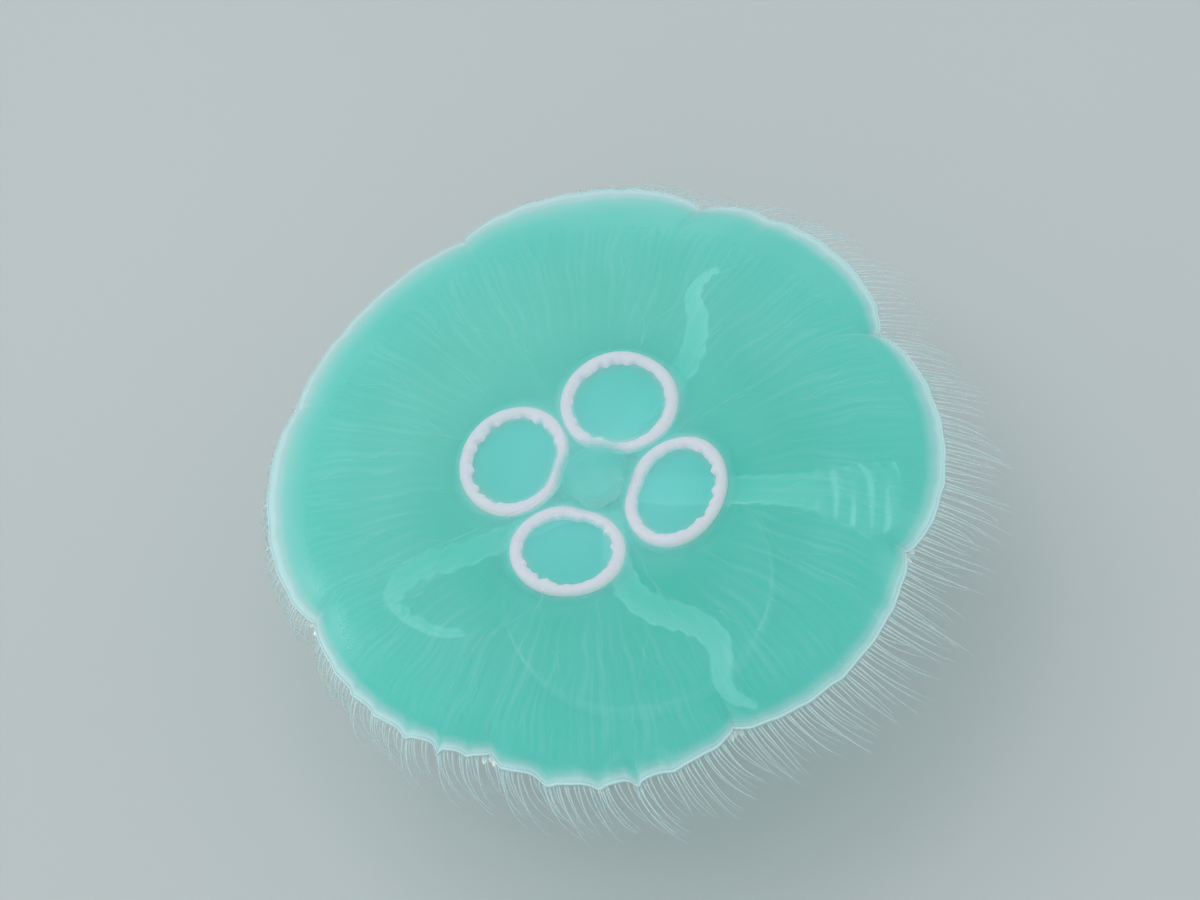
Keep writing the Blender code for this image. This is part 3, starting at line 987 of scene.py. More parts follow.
@dataclass(frozen=True)
class GonadRing:
    """One horseshoe gland folded into a ring, under the crown.

    It stands at an angle round the axis, and its sizes out from the axis and across are
    shares of the usual ones. Its fold places are angles round the ring, in radians.
    """

    form: BellForm
    number: int
    degrees: float
    radial_size: float
    tangential_size: float
    fold_places: tuple[float, ...]
    distance: float = 30.6 * MM
    radial: float = 18.6 * MM
    tangential: float = 21.6 * MM
    band: float = 4.8 * MM
    dent: float = 0.7 * MM
    dent_width: float = 0.3
    fold_reach: float = 0.55
    fold_depth: float = 0.36
    frill_waves: tuple[Wave, ...] = ((0.55, 15, 1.0), (0.40, 26, 2.1), (0.30, 9, -1.0))
    swell_waves: tuple[Wave, ...] = ((1.0, 3, 1.0), (0.6, 5, -1.0))
    swelling: float = 0.05
    puckers: int = 61
    pucker: float = 0.018
    flatness: float = 0.92
    hang: float = 1.1
    gap: float = 0.3 * MM
    membrane_reach: float = 1.42
    membrane_depth: float = 0.5 * MM
    membrane_lift: float = 0.6 * MM
    membrane_band: float = 0.20
    membrane_haze: float = 0.42
    haze_span: Span = (0.8, 1.1)
    membrane_rows: int = 34
    membrane_columns: int = 96
    stations: int = 420
    sides: int = 22

    @property
    def outwards(self) -> np.ndarray:
        """Level unit vector from the axis to the ring's middle."""
        return compass(math.radians(self.degrees))[0]

    @property
    def sideways(self) -> np.ndarray:
        """Level unit vector round the axis at the ring."""
        return compass(math.radians(self.degrees))[1]

    def half_axes(self, phase: np.ndarray) -> tuple[np.ndarray, float]:
        """The middle line's two half sizes, with the pinch that faces the axis.

        Args:
            phase: angles round the ring.

        Returns:
            The half sizes out from the axis and across.
        """
        pinch = self.dent * np.exp(-(wrapped(phase - math.pi) / self.dent_width) ** 2)
        radial = self.radial * self.radial_size - self.band / 2 - pinch
        return radial, self.tangential * self.tangential_size - self.band / 2

    def middle(self, phase: np.ndarray) -> np.ndarray:
        """Points in plan of the ring's middle line.

        Args:
            phase: angles round the ring.

        Returns:
            (..., 2) points.
        """
        radial, tangential = self.half_axes(phase)
        along = self.distance + radial * np.cos(phase)
        aside = tangential * np.sin(phase)
        return along[..., None] * self.outwards + aside[..., None] * self.sideways

    def height(self, plan: np.ndarray) -> np.ndarray:
        """Height of the ring's middle line below the crown.

        Args:
            plan: (..., 2) points.

        Returns:
            Heights in metres.
        """
        x, y = plan[..., 0], plan[..., 1]
        ceiling = self.form.lower(np.hypot(x, y), np.arctan2(y, x))
        return ceiling - self.gap - self.hang * self.band / 2

    def off_line(self, plan: np.ndarray) -> np.ndarray:
        """Distance in plan from the middle line, below 0 inside the ring.

        Args:
            plan: (..., 2) points.

        Returns:
            Distances in metres.
        """
        along = plan @ self.outwards - self.distance
        aside = plan @ self.sideways
        tangential = self.half_axes(np.zeros(1))[1]
        phase = np.arctan2(aside / tangential, along / (self.radial * self.radial_size))
        radial, tangential = self.half_axes(phase)
        share = np.hypot(along / radial, aside / tangential)
        return (share - 1) * (radial + tangential) / 2

    def folds(self, phase: np.ndarray) -> tuple[np.ndarray, np.ndarray]:
        """The ribbon's inner frill and its slow swelling, each about -1 to 1.

        The frill sums three sine waves round the ring, times a strength that is low but
        for a bell curve about each fold place. The swelling sums two slow ones.

        Args:
            phase: angles round the ring.

        Returns:
            The frill and the swelling.
        """
        seed = 1.7 * self.number
        off = wrapped(phase[:, None] - np.array(self.fold_places)) / self.fold_reach
        strength = 0.25 + 0.9 * np.max(np.exp(-off ** 2), axis=1)
        return (waves(phase, self.frill_waves, seed=seed) * strength,
                waves(phase, self.swell_waves, seed=seed))

    def build(self, tissue: bpy.types.Material) -> bpy.types.Object:
        """Make the ring: a rounded ribbon, smooth outside and frilled inside.

        Its section is an ellipse whose inner side reaches in by the frill and whose
        underside is puckered by finer folds.

        Args:
            tissue: its material.

        Returns:
            The piece.
        """
        phase = full_turn(self.stations)
        turn = full_turn(self.sides)
        plan = self.middle(phase)
        normal = np.cos(phase)[:, None] * self.outwards + np.sin(phase)[:, None] * self.sideways
        frill, swell = self.folds(phase)
        inner = np.clip(-np.cos(turn), 0, 1) ** 0.7
        half = (self.band / 2 * (0.99 + self.swelling * swell))[:, None]
        waved = np.sin(self.puckers * phase[:, None] + 2 * turn)
        pucker = 1 + self.pucker * waved * (0.4 + inner)
        reach = half * (1 + inner * self.fold_depth * frill[:, None]) * pucker * np.cos(turn)
        flat = plan[:, None] + normal[:, None] * reach[..., None]
        rise = self.flatness * half * pucker * np.sin(turn)
        low_side = np.clip(np.cos(turn) * 0.8 - np.sin(turn) * 0.6, 0, 1)
        surface = Surface().add_grids(
            raised(flat, self.height(plan)[:, None] + rise), Ends.RING,
            low_side=low_side, fold=0.5 + 0.5 * frill[:, None] * inner)
        piece = surface.build(f"gonad_ring_{self.number + 1}", tissue)
        return place(piece, Slot.GONAD, f"gonad_{self.number + 1}")

    def build_membrane(self, haze: bpy.types.Material) -> bpy.types.Object:
        """Make the milky membrane across the ring, a thin lens.

        It is milkiest, and whitest as a painted glow, in a band along the ring, as exp(-((s -
        1)/b)²) with s the share of the way from the ring's middle to its line, and faint inside
        that.

        Args:
            haze: its material.

        Returns:
            The piece.
        """
        share, side = lens_rows(0.04, self.membrane_rows)
        out = share * self.membrane_reach
        centre = self.distance * self.outwards
        line = self.middle(full_turn(self.membrane_columns)[None, :])
        plan = centre + (line - centre) * out[..., None]
        level = self.height(centre[None])[0] + self.membrane_lift
        lens = self.membrane_depth * (1 - share ** 2) * side
        # painted glow along the ring, on the membrane's milky band
        glow = np.exp(-((out - 1) / self.membrane_band) ** 2)
        inside = self.membrane_haze * (1 - smoothstep(out, *self.haze_span))
        surface = Surface().add_grids(raised(plan, level + lens), Ends.POLES,
                                      haze=np.maximum(glow, inside), glow=glow)
        piece = surface.build(f"gastric_membrane_{self.number + 1}", haze)
        return place(piece, Slot.GONAD)


@dataclass(frozen=True)
class OralArm:
    """A folded leaf of tissue that hangs from a corner of the mouth.

    Its half widths are millimetres at even places along its route, times its width. Its
    fan is 1 where it spreads into one and 0 elsewhere.
    """

    form: BellForm
    number: int
    route: Route
    half_widths: tuple[float, ...]
    width: float
    fan: float
    drop: float = 0.8
    rib: float = 0.75 * MM
    edge: float = 0.22 * MM
    frill: float = 1.15 * MM
    frills: int = 15
    pleat: float = 1.7 * MM
    pleats: int = 17
    pale_end: float = 0.0
    rib_pleat: float = 0.35
    rib_round: float = 0.22
    root_width: float = 0.35
    root_span: Span = (0.0, 0.09)
    calm_span: Span = (0.05, 0.2)
    pleat_span: Span = (0.60, 0.84)
    fan_span: Span = (0.55, 0.80)
    pale_span: Span = (0.4, 0.85)
    start_in_mouth: tuple[float, float, float] = (0.45, 0.45, 0.9)
    feelers: int = 150
    feeler_span: Span = (0.07, 0.99)
    feeler_length: float = 0.9 * MM
    feeler_change: float = 0.35 * MM
    stations: int = 100
    lanes: int = 23

    @property
    def along(self) -> np.ndarray:
        """The share of the arm's length at each station, as a column."""
        return np.linspace(0, 1, self.stations)[:, None]

    @property
    def lane(self) -> np.ndarray:
        """The place across the leaf of each lane, from -1 to 1."""
        return np.linspace(-1, 1, self.lanes)

    def path(self) -> np.ndarray:
        """Even points along the arm's rib, from inside the mouth to its tip.

        Returns:
            (stations, 3) points.
        """
        knots = np.array(self.route, dtype=float)
        fine = through(knots, np.linspace(0, 1, 600))
        in_mouth = fine[0] * self.start_in_mouth
        step = np.linspace(0, 1, 20, endpoint=False)[:, None]
        lead = in_mouth + (fine[0] - in_mouth) * step
        path = even_steps(np.vstack((lead, fine)), self.stations)
        return path * MM + UP * self.form.margin

    def frames(self, path: np.ndarray) -> tuple[np.ndarray, np.ndarray]:
        """Directions across and above the arm, carried along it with no twist.

        Args:
            path: the rib's points.

        Returns:
            Unit vectors across the arm and above it.
        """
        along = unit(np.gradient(path, axis=0))
        above = np.zeros_like(path)
        carried = UP
        for k, direction in enumerate(along):
            carried = unit(carried - direction * carried.dot(direction))
            above[k] = carried
        return np.cross(above, along), above

    def pleats_of(self) -> tuple[np.ndarray, np.ndarray]:
        """The pleats that cross a fan: their height and how sharply each point is a crest.

        A pleat is a sine wave along the arm that bows with w², w being the place across
        the leaf, and it grows from nothing where the leaf begins to spread. A crest is
        the wave's third power, so it is a narrow strand.

        Returns:
            Heights in metres, and crests from 0 to 1.
        """
        along, lane = self.along, self.lane
        grown = self.fan * smoothstep(along, *self.pleat_span)
        turns = math.tau * self.pleats * along + 1.5 * lane ** 2 + 0.8 * np.sin(2.2 * lane + 1)
        wave = np.sin(turns) + 0.35 * np.sin(0.47 * turns + 2.0 * lane)
        reach = self.rib_pleat + (1 - self.rib_pleat) * np.abs(lane)
        height = self.pleat * grown * wave * reach
        return height, grown * np.clip(wave, 0, 1) ** 3

    def sheet(self) -> tuple[np.ndarray, np.ndarray, np.ndarray]:
        """The arm's middle sheet.

        With w from -1 to 1 across the leaf of half width h, a point stands w h aside
        and hangs by drop h (√(w² + e²) - e), a fold with a rounded rib. The edges wave
        by frill |w|³ sin(turns along the arm), and waver a little sideways too.

        Returns:
            Sheet points (stations, lanes, 3) and the directions across and above.
        """
        path, along, lane = self.path(), self.along, self.lane
        across, above = self.frames(path)
        knots = np.array(self.half_widths)[:, None]
        half = through(knots, along[:, 0]) * self.width * MM
        opened = smoothstep(along, *self.root_span)
        half = half * (self.root_width + (1 - self.root_width) * opened)
        soft = self.rib_round
        fold = (np.sqrt(lane ** 2 + soft ** 2) - soft) / (math.sqrt(1 + soft ** 2) - soft)
        turns = math.tau * self.frills * along + 1.3 * np.sign(lane) + self.number
        wave = np.sin(turns) + 0.45 * np.sin(2.3 * turns + 1.1)
        calm = smoothstep(along, *self.calm_span) * half / half.max()
        lift = self.frill * np.abs(lane) ** 3 * wave * calm + self.pleats_of()[0]
        aside = half * lane * (1 + 0.10 * np.abs(lane) * np.cos(turns) * calm)
        points = (path[:, None] + across[:, None] * aside[..., None]
                  - above[:, None] * (self.drop * half * fold - lift)[..., None])
        return points, across, above

    def add_to(self, surface: Surface) -> None:
        """Add the arm's closed leaf: the sheet given thickness along its normals.

        Args:
            surface: what the leaf is added to.
        """
        points, _, above = self.sheet()
        along, lane = self.along, self.lane
        normal = unit(np.cross(np.gradient(points, axis=1), np.gradient(points, axis=0)))
        normal *= np.sign(np.sum(normal * above[:, None], axis=-1, keepdims=True) + 1e-9)
        thick = (self.edge + (self.rib - self.edge) * (1 - lane ** 2))[:, None]
        strand = self.pleats_of()[1] + self.pale_end * smoothstep(along, *self.pale_span)
        spread = self.fan * smoothstep(along, *self.fan_span)
        frill = np.abs(lane) ** 2.5 * (1 - 0.85 * spread)
        both = {name: np.concatenate((value, value[:, ::-1]), axis=1) for name, value in
                (("frill", frill), ("sheer", spread * (1 - strand)), ("strand", strand))}
        grid = np.concatenate((points + normal * thick, (points - normal * thick)[:, ::-1]),
                              axis=1)
        surface.add_grids(grid, Ends.POLES, share=0.0, under=1.0, tissue=1.0, cloud=0.5,
                          **both)

    def fringe(self) -> tuple[np.ndarray, np.ndarray]:
        """Paths of the small feelers along both frilled edges.

        Returns:
            (feelers, stations, 3) paths and the direction of the arm at each.
        """
        points, across, above = self.sheet()
        number = np.arange(self.feelers)
        at = np.linspace(*self.feeler_span, self.feelers) * (self.stations - 1)
        near = at.astype(int)
        direction = np.cross(across[near], above[near])
        lean = 0.5 * np.sin(2.4 * number)[:, None] * direction
        length = self.feeler_length + self.feeler_change * np.sin(1.9 * number + self.number)
        paths = []
        for side, sign in ((0, -1), (-1, 1)):
            root = np.stack([np.interp(at, np.arange(self.stations), points[:, side, axis])
                             for axis in range(3)], axis=1)
            reach = unit(sign * across[near] - 0.9 * above[near] + lean) * length[:, None]
            steps = np.linspace(0, 1, 5)[:, None]
            paths.append(root[:, None] + reach[:, None] * steps)
        return np.concatenate(paths), np.concatenate((direction, direction))


@dataclass(frozen=True)
class Skin:
    """The one surface of the bell, the manubrium and the oral arms."""

    form: BellForm
    rings: tuple[GonadRing, ...]
    arms: tuple[OralArm, ...]
    rod_top: float
    columns_per_lobe: int = 80
    bunching: float = 0.4
    top_rows: int = 34
    lip_rows: int = 9
    outer_rows: int = 22
    inner_rows: int = 30
    mouth_rows: int = 16
    top_inset: float = 0.8 * MM
    under_inset: float = 2.6 * MM
    lip_width: float = 1.1 * MM
    lip_height: float = 0.95 * MM
    lip_drop: float = 0.85 * MM
    lip_turn: Pair = (62, -105)
    inner_radius: float = 13 * MM
    crown_radius: float = 54 * MM
    pouch_depth: float = 5.9 * MM
    pouch_width: float = 9.0 * MM
    pouch_rise: float = 0.22
    rise_span: Span = (3 * MM, 12 * MM)
    stalk: tuple[Pair, ...] = ((11.0, -0.9), (9.3, -3.4), (8.0, -8.0), (7.2, -12.0),
                               (7.6, -15.2))
    mouth: tuple[Pair, ...] = ((6.9, 1.3), (6.0, 0.4), (3.4, 0.3))
    corners: float = 0.16
    corner_span: Span = (0.0, 0.4)
    blend_span: Span = (0.0, 0.35)
    flesh: float = 0.7
    flesh_span: Span = (1.5 * MM, 7 * MM)

    def columns(self) -> np.ndarray:
        """Angles round the bell, set closer together beside each notch.

        Returns:
            Angles in radians.
        """
        share = np.arange(self.columns_per_lobe) / self.columns_per_lobe
        share = share - self.bunching * np.sin(math.tau * share) / math.tau
        return ((np.arange(LOBES)[:, None] + share) * LOBE_ANGLE).ravel()

    def pouch(self, points: np.ndarray) -> np.ndarray:
        """How far the under surface swells below a gonad.

        Outside the ring's middle line it is depth exp(-(x/width)²), x being the distance
        to it; inside the line it keeps most of that depth and rises a little.

        Args:
            points: the under surface's points.

        Returns:
            The swelling at each point, in metres.
        """
        swell = []
        for ring in self.rings:
            off = ring.off_line(points[..., :2])
            fall = np.exp(-(np.maximum(off, 0) / self.pouch_width) ** 2)
            swell.append(fall * (1 - self.pouch_rise * smoothstep(-off, *self.rise_span)))
        return self.pouch_depth * np.max(swell, axis=0)

    def top_sheet(self, angle: np.ndarray) -> tuple[np.ndarray, np.ndarray]:
        """The dome out to the margin's lip, in rows that close up towards it.

        With t from 0 to 1 over the rows, their radius grows as 1 - (1 - t)^1.5.

        Args:
            angle: the columns' angles.

        Returns:
            (rows, columns, 3) points, and how far out each lies.
        """
        step = 1 - (1 - np.linspace(0.03, 1, self.top_rows)[:, None]) ** 1.5
        radius = step * (self.form.outline(angle) - self.top_inset)
        dome = around(radius, angle, self.form.upper(radius, angle))
        return dome, self.form.share(radius, angle)

    def lip(self, angle: np.ndarray) -> np.ndarray:
        """The rounded lip of the margin: part of an ellipse carried round the outline.

        Args:
            angle: the columns' angles.

        Returns:
            (rows, columns, 3) points.
        """
        turn = np.radians(np.linspace(*self.lip_turn, self.lip_rows))[:, None]
        centre = self.form.outline(angle) - self.lip_width
        height = self.form.upper(centre, angle) - self.lip_drop
        return around(centre + self.lip_width * np.cos(turn), angle,
                      height + self.lip_height * np.sin(turn))

    def under_sheet(self, angle: np.ndarray) -> tuple[np.ndarray, np.ndarray]:
        """The under surface from the margin in to the manubrium, with its pouches.

        Args:
            angle: the columns' angles.

        Returns:
            (rows, columns, 3) points, and how far out each lies.
        """
        step = np.linspace(1, 0, self.outer_rows, endpoint=False)[:, None]
        edge = self.form.outline(angle) - self.under_inset
        outer = self.crown_radius + (edge - self.crown_radius) * step
        inner = np.linspace(self.crown_radius, self.inner_radius, self.inner_rows)[:, None]
        radius = np.concatenate((outer, inner + 0 * angle))
        sheet = around(radius, angle, self.form.lower(radius, angle))
        return sheet - UP * self.pouch(sheet)[..., None], self.form.share(radius, angle)

    def manubrium(self, angle: np.ndarray, start: np.ndarray) -> np.ndarray:
        """The four-cornered stalk: a smooth profile from the under surface to the mouth.

        The stalk's knots are millimetres out from the axis and up from the under surface,
        and the mouth's are up from the top of the rod. Each radius is multiplied by
        1 + c cos 4a, which puts a corner over every arm.

        Args:
            angle: the columns' angles.
            start: heights where it leaves the under surface.

        Returns:
            (rows, columns, 3) points.
        """
        level = start.mean()
        step = np.linspace(0, 1, self.mouth_rows)[:, None]
        knots = np.concatenate((np.array(self.stalk) * MM + (0, level),
                                np.array(self.mouth) * MM + (0, self.rod_top)))
        line = through(knots, step[:, 0])
        sharp = self.corners * smoothstep(step, *self.corner_span)
        blend = 1 - smoothstep(step, *self.blend_span)
        radius = line[:, :1] * (1 + sharp * np.cos(4 * angle))
        return around(radius, angle, line[:, 1:] + blend * (start - level))

    def bell_surface(self) -> Surface:
        """The closed surface of the bell and the manubrium, on one grid.

        Returns:
            The surface, with the values that its finish reads.
        """
        angle = self.columns()
        top, top_share = self.top_sheet(angle)
        lip = self.lip(angle)
        under, under_share = self.under_sheet(angle)
        mouth = self.manubrium(angle, under[-1, :, 2])
        rows = [len(part) for part in (top, lip, under, mouth)]
        share = np.concatenate((top_share, np.ones(lip.shape[:2]), under_share,
                                np.zeros(mouth.shape[:2])))
        grid = self.form.ruffled(np.concatenate((top, lip, under, mouth)), share, angle)
        below = np.repeat((0.0, 0.5, 1.0, 1.0), rows)[:, None]
        stalk = np.repeat((0.0, 0.0, 0.0, 1.0), rows)[:, None]
        hang = smoothstep(under[-1, :, 2].mean() - grid[..., 2], *self.flesh_span)
        return Surface().add_grids(
            grid, Ends.POLES, share=share, under=below, tissue=self.flesh * stalk * hang,
            frill=0.0, sheer=0.0, strand=0.0, cloud=clouds(grid))

    def build(self, jelly: bpy.types.Material) -> bpy.types.Object:
        """Make the skin: the arms are united with the bell, so that no seam is left.

        Args:
            jelly: its material.

        Returns:
            The piece.
        """
        body = self.bell_surface().build("skin", jelly)
        leaves = Surface()
        for arm in self.arms:
            arm.add_to(leaves)
        unite(body, leaves.build("arms_to_join", jelly))
        nodes = ["bell_crown", "manubrium"]
        nodes += [f"bell_lobe_{lobe + 1}" for lobe in range(LOBES)]
        nodes += [f"oral_arm_{arm.number + 1}_{length}" for arm in self.arms
                  for length in ("upper", "lower")]
        return place(body, Slot.JELLY, *nodes)


@dataclass(frozen=True)
class StomachRoof:
    """The jelly over the manubrium, which closes the stomach above."""

    form: BellForm
    radius: float = 16.5 * MM
    lift: float = 1.0 * MM
    half_depth: float = 0.3 * MM
    fade_span: Span = (0.45, 0.97)
    rows: int = 16
    columns: int = 64

    def build(self, veil: bpy.types.Material) -> bpy.types.Object:
        """Make a lens just above the under surface, which fades out towards its rim.

        Its two faces stand a half depth √(1 - s²) above and below its middle, with s the
        share of the way to its rim.

        Args:
            veil: its material.

        Returns:
            The piece.
        """
        share, side = lens_rows(0.06, self.rows)
        radius, angle = np.broadcast_arrays(share * self.radius, full_turn(self.columns))
        lens = side * self.half_depth * np.sqrt(np.maximum(1 - share ** 2, 0))
        height = self.form.lower(radius, angle) + self.lift + lens
        surface = Surface().add_grids(around(radius, angle, height), Ends.POLES,
                                      haze=1 - smoothstep(share, *self.fade_span))
        return place(surface.build("stomach_roof", veil), Slot.JELLY)


@dataclass(frozen=True)
class ArmFringe:
    """The tiny feelers along the edges of the oral arms."""

    arms: tuple[OralArm, ...]
    root_radius: float = 0.20 * MM
    tip_radius: float = 0.07 * MM
    sides: int = 5

    def build(self, tissue: bpy.types.Material) -> bpy.types.Object:
        """Make all the feelers as one joined mesh of tapering tubes.

        Args:
            tissue: its material.

        Returns:
            The piece.
        """
        surface = Surface()
        for arm in self.arms:
            paths, directions = arm.fringe()
            radius = np.linspace(self.root_radius, self.tip_radius, paths.shape[1])
            grids = tubes(paths, radius, directions[:, None], self.sides)
            surface.add_grids(grids, Ends.POLES)
        return place(surface.build("oral_arm_fringe", tissue), Slot.ORAL_ARM)


@dataclass(frozen=True)
class Fringe:
    """The fine marginal tentacles of one lobe."""

    form: BellForm
    lobe: int
    count: int = 64
    stations: int = 13
    out: float = 13 * MM
    down: float = 22 * MM
    drift: float = 10 * MM
    drift_degrees: float = -25.0
    usual_reach: float = 0.82
    reach_waves: tuple[Wave, ...] = ((0.12, 0.41, 0), (0.10, 1.13, 1), (0.12, 5.1, 0))
    sway_waves: tuple[Wave, ...] = ((2.2, 0.27, 0), (1.3, 1.7, 0))
    curl: float = 0.5
    inset: float = 0.9 * MM
    below: float = 0.45 * MM
    root_radius: float = 0.30 * MM
    tip_radius: float = 0.10 * MM
    bulb: float = 0.45
    bulb_at: float = 0.07
    bulb_length: float = 0.05
    thinning: float = 0.55
    sides: int = 6

    def paths(self) -> np.ndarray:
        """Lines that leave the margin outwards and bend down.

        With f from 0 to 1 along a tentacle, it stands out(1 - (1 - f)^1.6) from the
        margin, hangs down f^1.15 and trails drift f^1.5 along the drift, times its own
        reach. It sways sideways by f² and curls in a slow wave. Sine waves over the
        tentacles' numbers give each its own place, reach, spread and sway.

        Returns:
            (tentacles, stations, 3) points.
        """
        number = self.lobe * self.count + np.arange(self.count)
        across = (np.arange(self.count) + 0.5 + 0.22 * np.sin(3.7 * number)) / self.count
        angle = (self.lobe + across) * LOBE_ANGLE
        edge = self.form.outline(angle)
        root = (self.form.upper(edge, angle) - self.below)[:, None]
        own = number[:, None]
        along = np.linspace(0, 1, self.stations)
        reach = waves(own, self.reach_waves, level=self.usual_reach)
        spread = 1 + 0.12 * np.sin(2.9 * own)
        out = self.out * reach * spread * (1 - (1 - along) ** 1.6)
        sway = waves(own, self.sway_waves) * along ** 2
        curl = self.curl * np.sin(4.5 * along + own) * along
        outward, sideways = compass(angle[:, None])
        drifting = compass(math.radians(self.drift_degrees))[0]
        plan = (outward * (edge[:, None] - self.inset + out)[..., None]
                + sideways * ((sway + curl) * MM)[..., None]
                + drifting * (self.drift * reach * along ** 1.5)[..., None])
        hanging = raised(plan, root - self.down * reach * along ** 1.15)
        return hanging + self.form.ruffle(angle)[:, None]

    def build(self, tissue: bpy.types.Material) -> bpy.types.Object:
        """Make the lobe's tentacles, each with a small bulb at its root.

        Args:
            tissue: its material.

        Returns:
            The piece.
        """
        paths = self.paths()
        along = np.linspace(0, 1, self.stations)
        taper = self.tip_radius + (self.root_radius - self.tip_radius) * (1 - along) ** 1.4
        bulb = 1 + self.bulb * np.exp(-((along - self.bulb_at) / self.bulb_length) ** 2)
        angle = np.arctan2(paths[:, :1, 1], paths[:, :1, 0])
        reference = raised(compass(angle)[1], 0.0)
        grids = tubes(paths, taper * bulb, reference, self.sides)
        thin = (1 - self.thinning * along)[:, None]
        surface = Surface().add_grids(grids, Ends.POLES, thin=thin)
        piece = surface.build(f"tentacles_{self.lobe + 1}", tissue)
        return place(piece, Slot.FRINGE, f"margin_{self.lobe + 1}")


@dataclass(frozen=True)
class SenseOrgan:
    """A rhopalium: a small club under its notch, with a tan grain at its tip."""

    form: BellForm
    notch: int
    radius: float = 1.05 * MM
    tuck: float = 0.5 * MM
    grain_span: Span = (0.55, 0.85)
    lappet_aside: float = 1.9 * MM
    lappet_back: float = 0.6 * MM
    lappet_length: float = 3.0 * MM
    lappet_sag: float = 1.6 * MM
    lappet_width: float = 1.0 * MM
    lappet_depth: float = 0.32 * MM
    lappet_rows: int = 12
    lappet_sides: int = 14
    rows: int = 26
    sides: int = 20

    def build(self, tissue: bpy.types.Material) -> bpy.types.Object:
        """Make the club, a turned profile hung where the solid hangs.

        With t from 0 at the top to 1 at the tip, its radius is r/2 (1 + sin²(π t^1.3))
        times √(1 - (2t - 1)⁸), a stalk that swells to a rounded club. Its top is tucked
        into the jelly.

        Args:
            tissue: its material.

        Returns:
            The piece.
        """
        low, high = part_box(f"rhopalium_{self.notch + 1}")
        centre = (low + high) / 2
        share = np.linspace(0.004, 0.996, self.rows)[:, None]
        swell = 0.5 + 0.5 * np.sin(math.pi * share ** 1.3) ** 2
        profile = self.radius * swell * np.sqrt(1 - (2 * share - 1) ** 8)
        top = high.z + self.tuck
        grid = around(profile, full_turn(self.sides), top + (low.z - top) * share)
        grid[..., :2] += centre.xy
        grain = smoothstep(share, *self.grain_span)
        surface = Surface().add_grids(grid, Ends.POLES, grain=grain)
        self.add_lappets(surface, np.array((centre.x, centre.y, high.z)))
        piece = surface.build(f"sense_organ_{self.notch + 1}", tissue)
        return place(piece, Slot.SENSE_ORGAN, f"rhopalium_{self.notch + 1}")

    def add_lappets(self, surface: Surface, top: np.ndarray) -> None:
        """Add the two small flaps that guard the organ, flat leaves beside it.

        With t along a flap, it runs out by its length t and sags by t^1.5, and the half
        sizes of its oval section follow √sin(πt).

        Args:
            surface: what the flaps are added to.
            top: the middle of the organ's top.
        """
        outward, aside = (raised(level, 0.0) for level in compass(self.notch * LOBE_ANGLE))
        share = np.linspace(0.02, 0.98, self.lappet_rows)[:, None, None]
        turn = full_turn(self.lappet_sides)[:, None]
        section = (self.lappet_width * np.cos(turn) * aside
                   + self.lappet_depth * np.sin(turn) * UP) * np.sqrt(np.sin(math.pi * share))
        spine = (outward * (self.lappet_length * share - self.lappet_back)
                 - UP * self.lappet_sag * share ** 1.5)
        for side in (1, -1):
            surface.add_grids(top + aside * side * self.lappet_aside + spine + section,
                              Ends.POLES, grain=0.0)


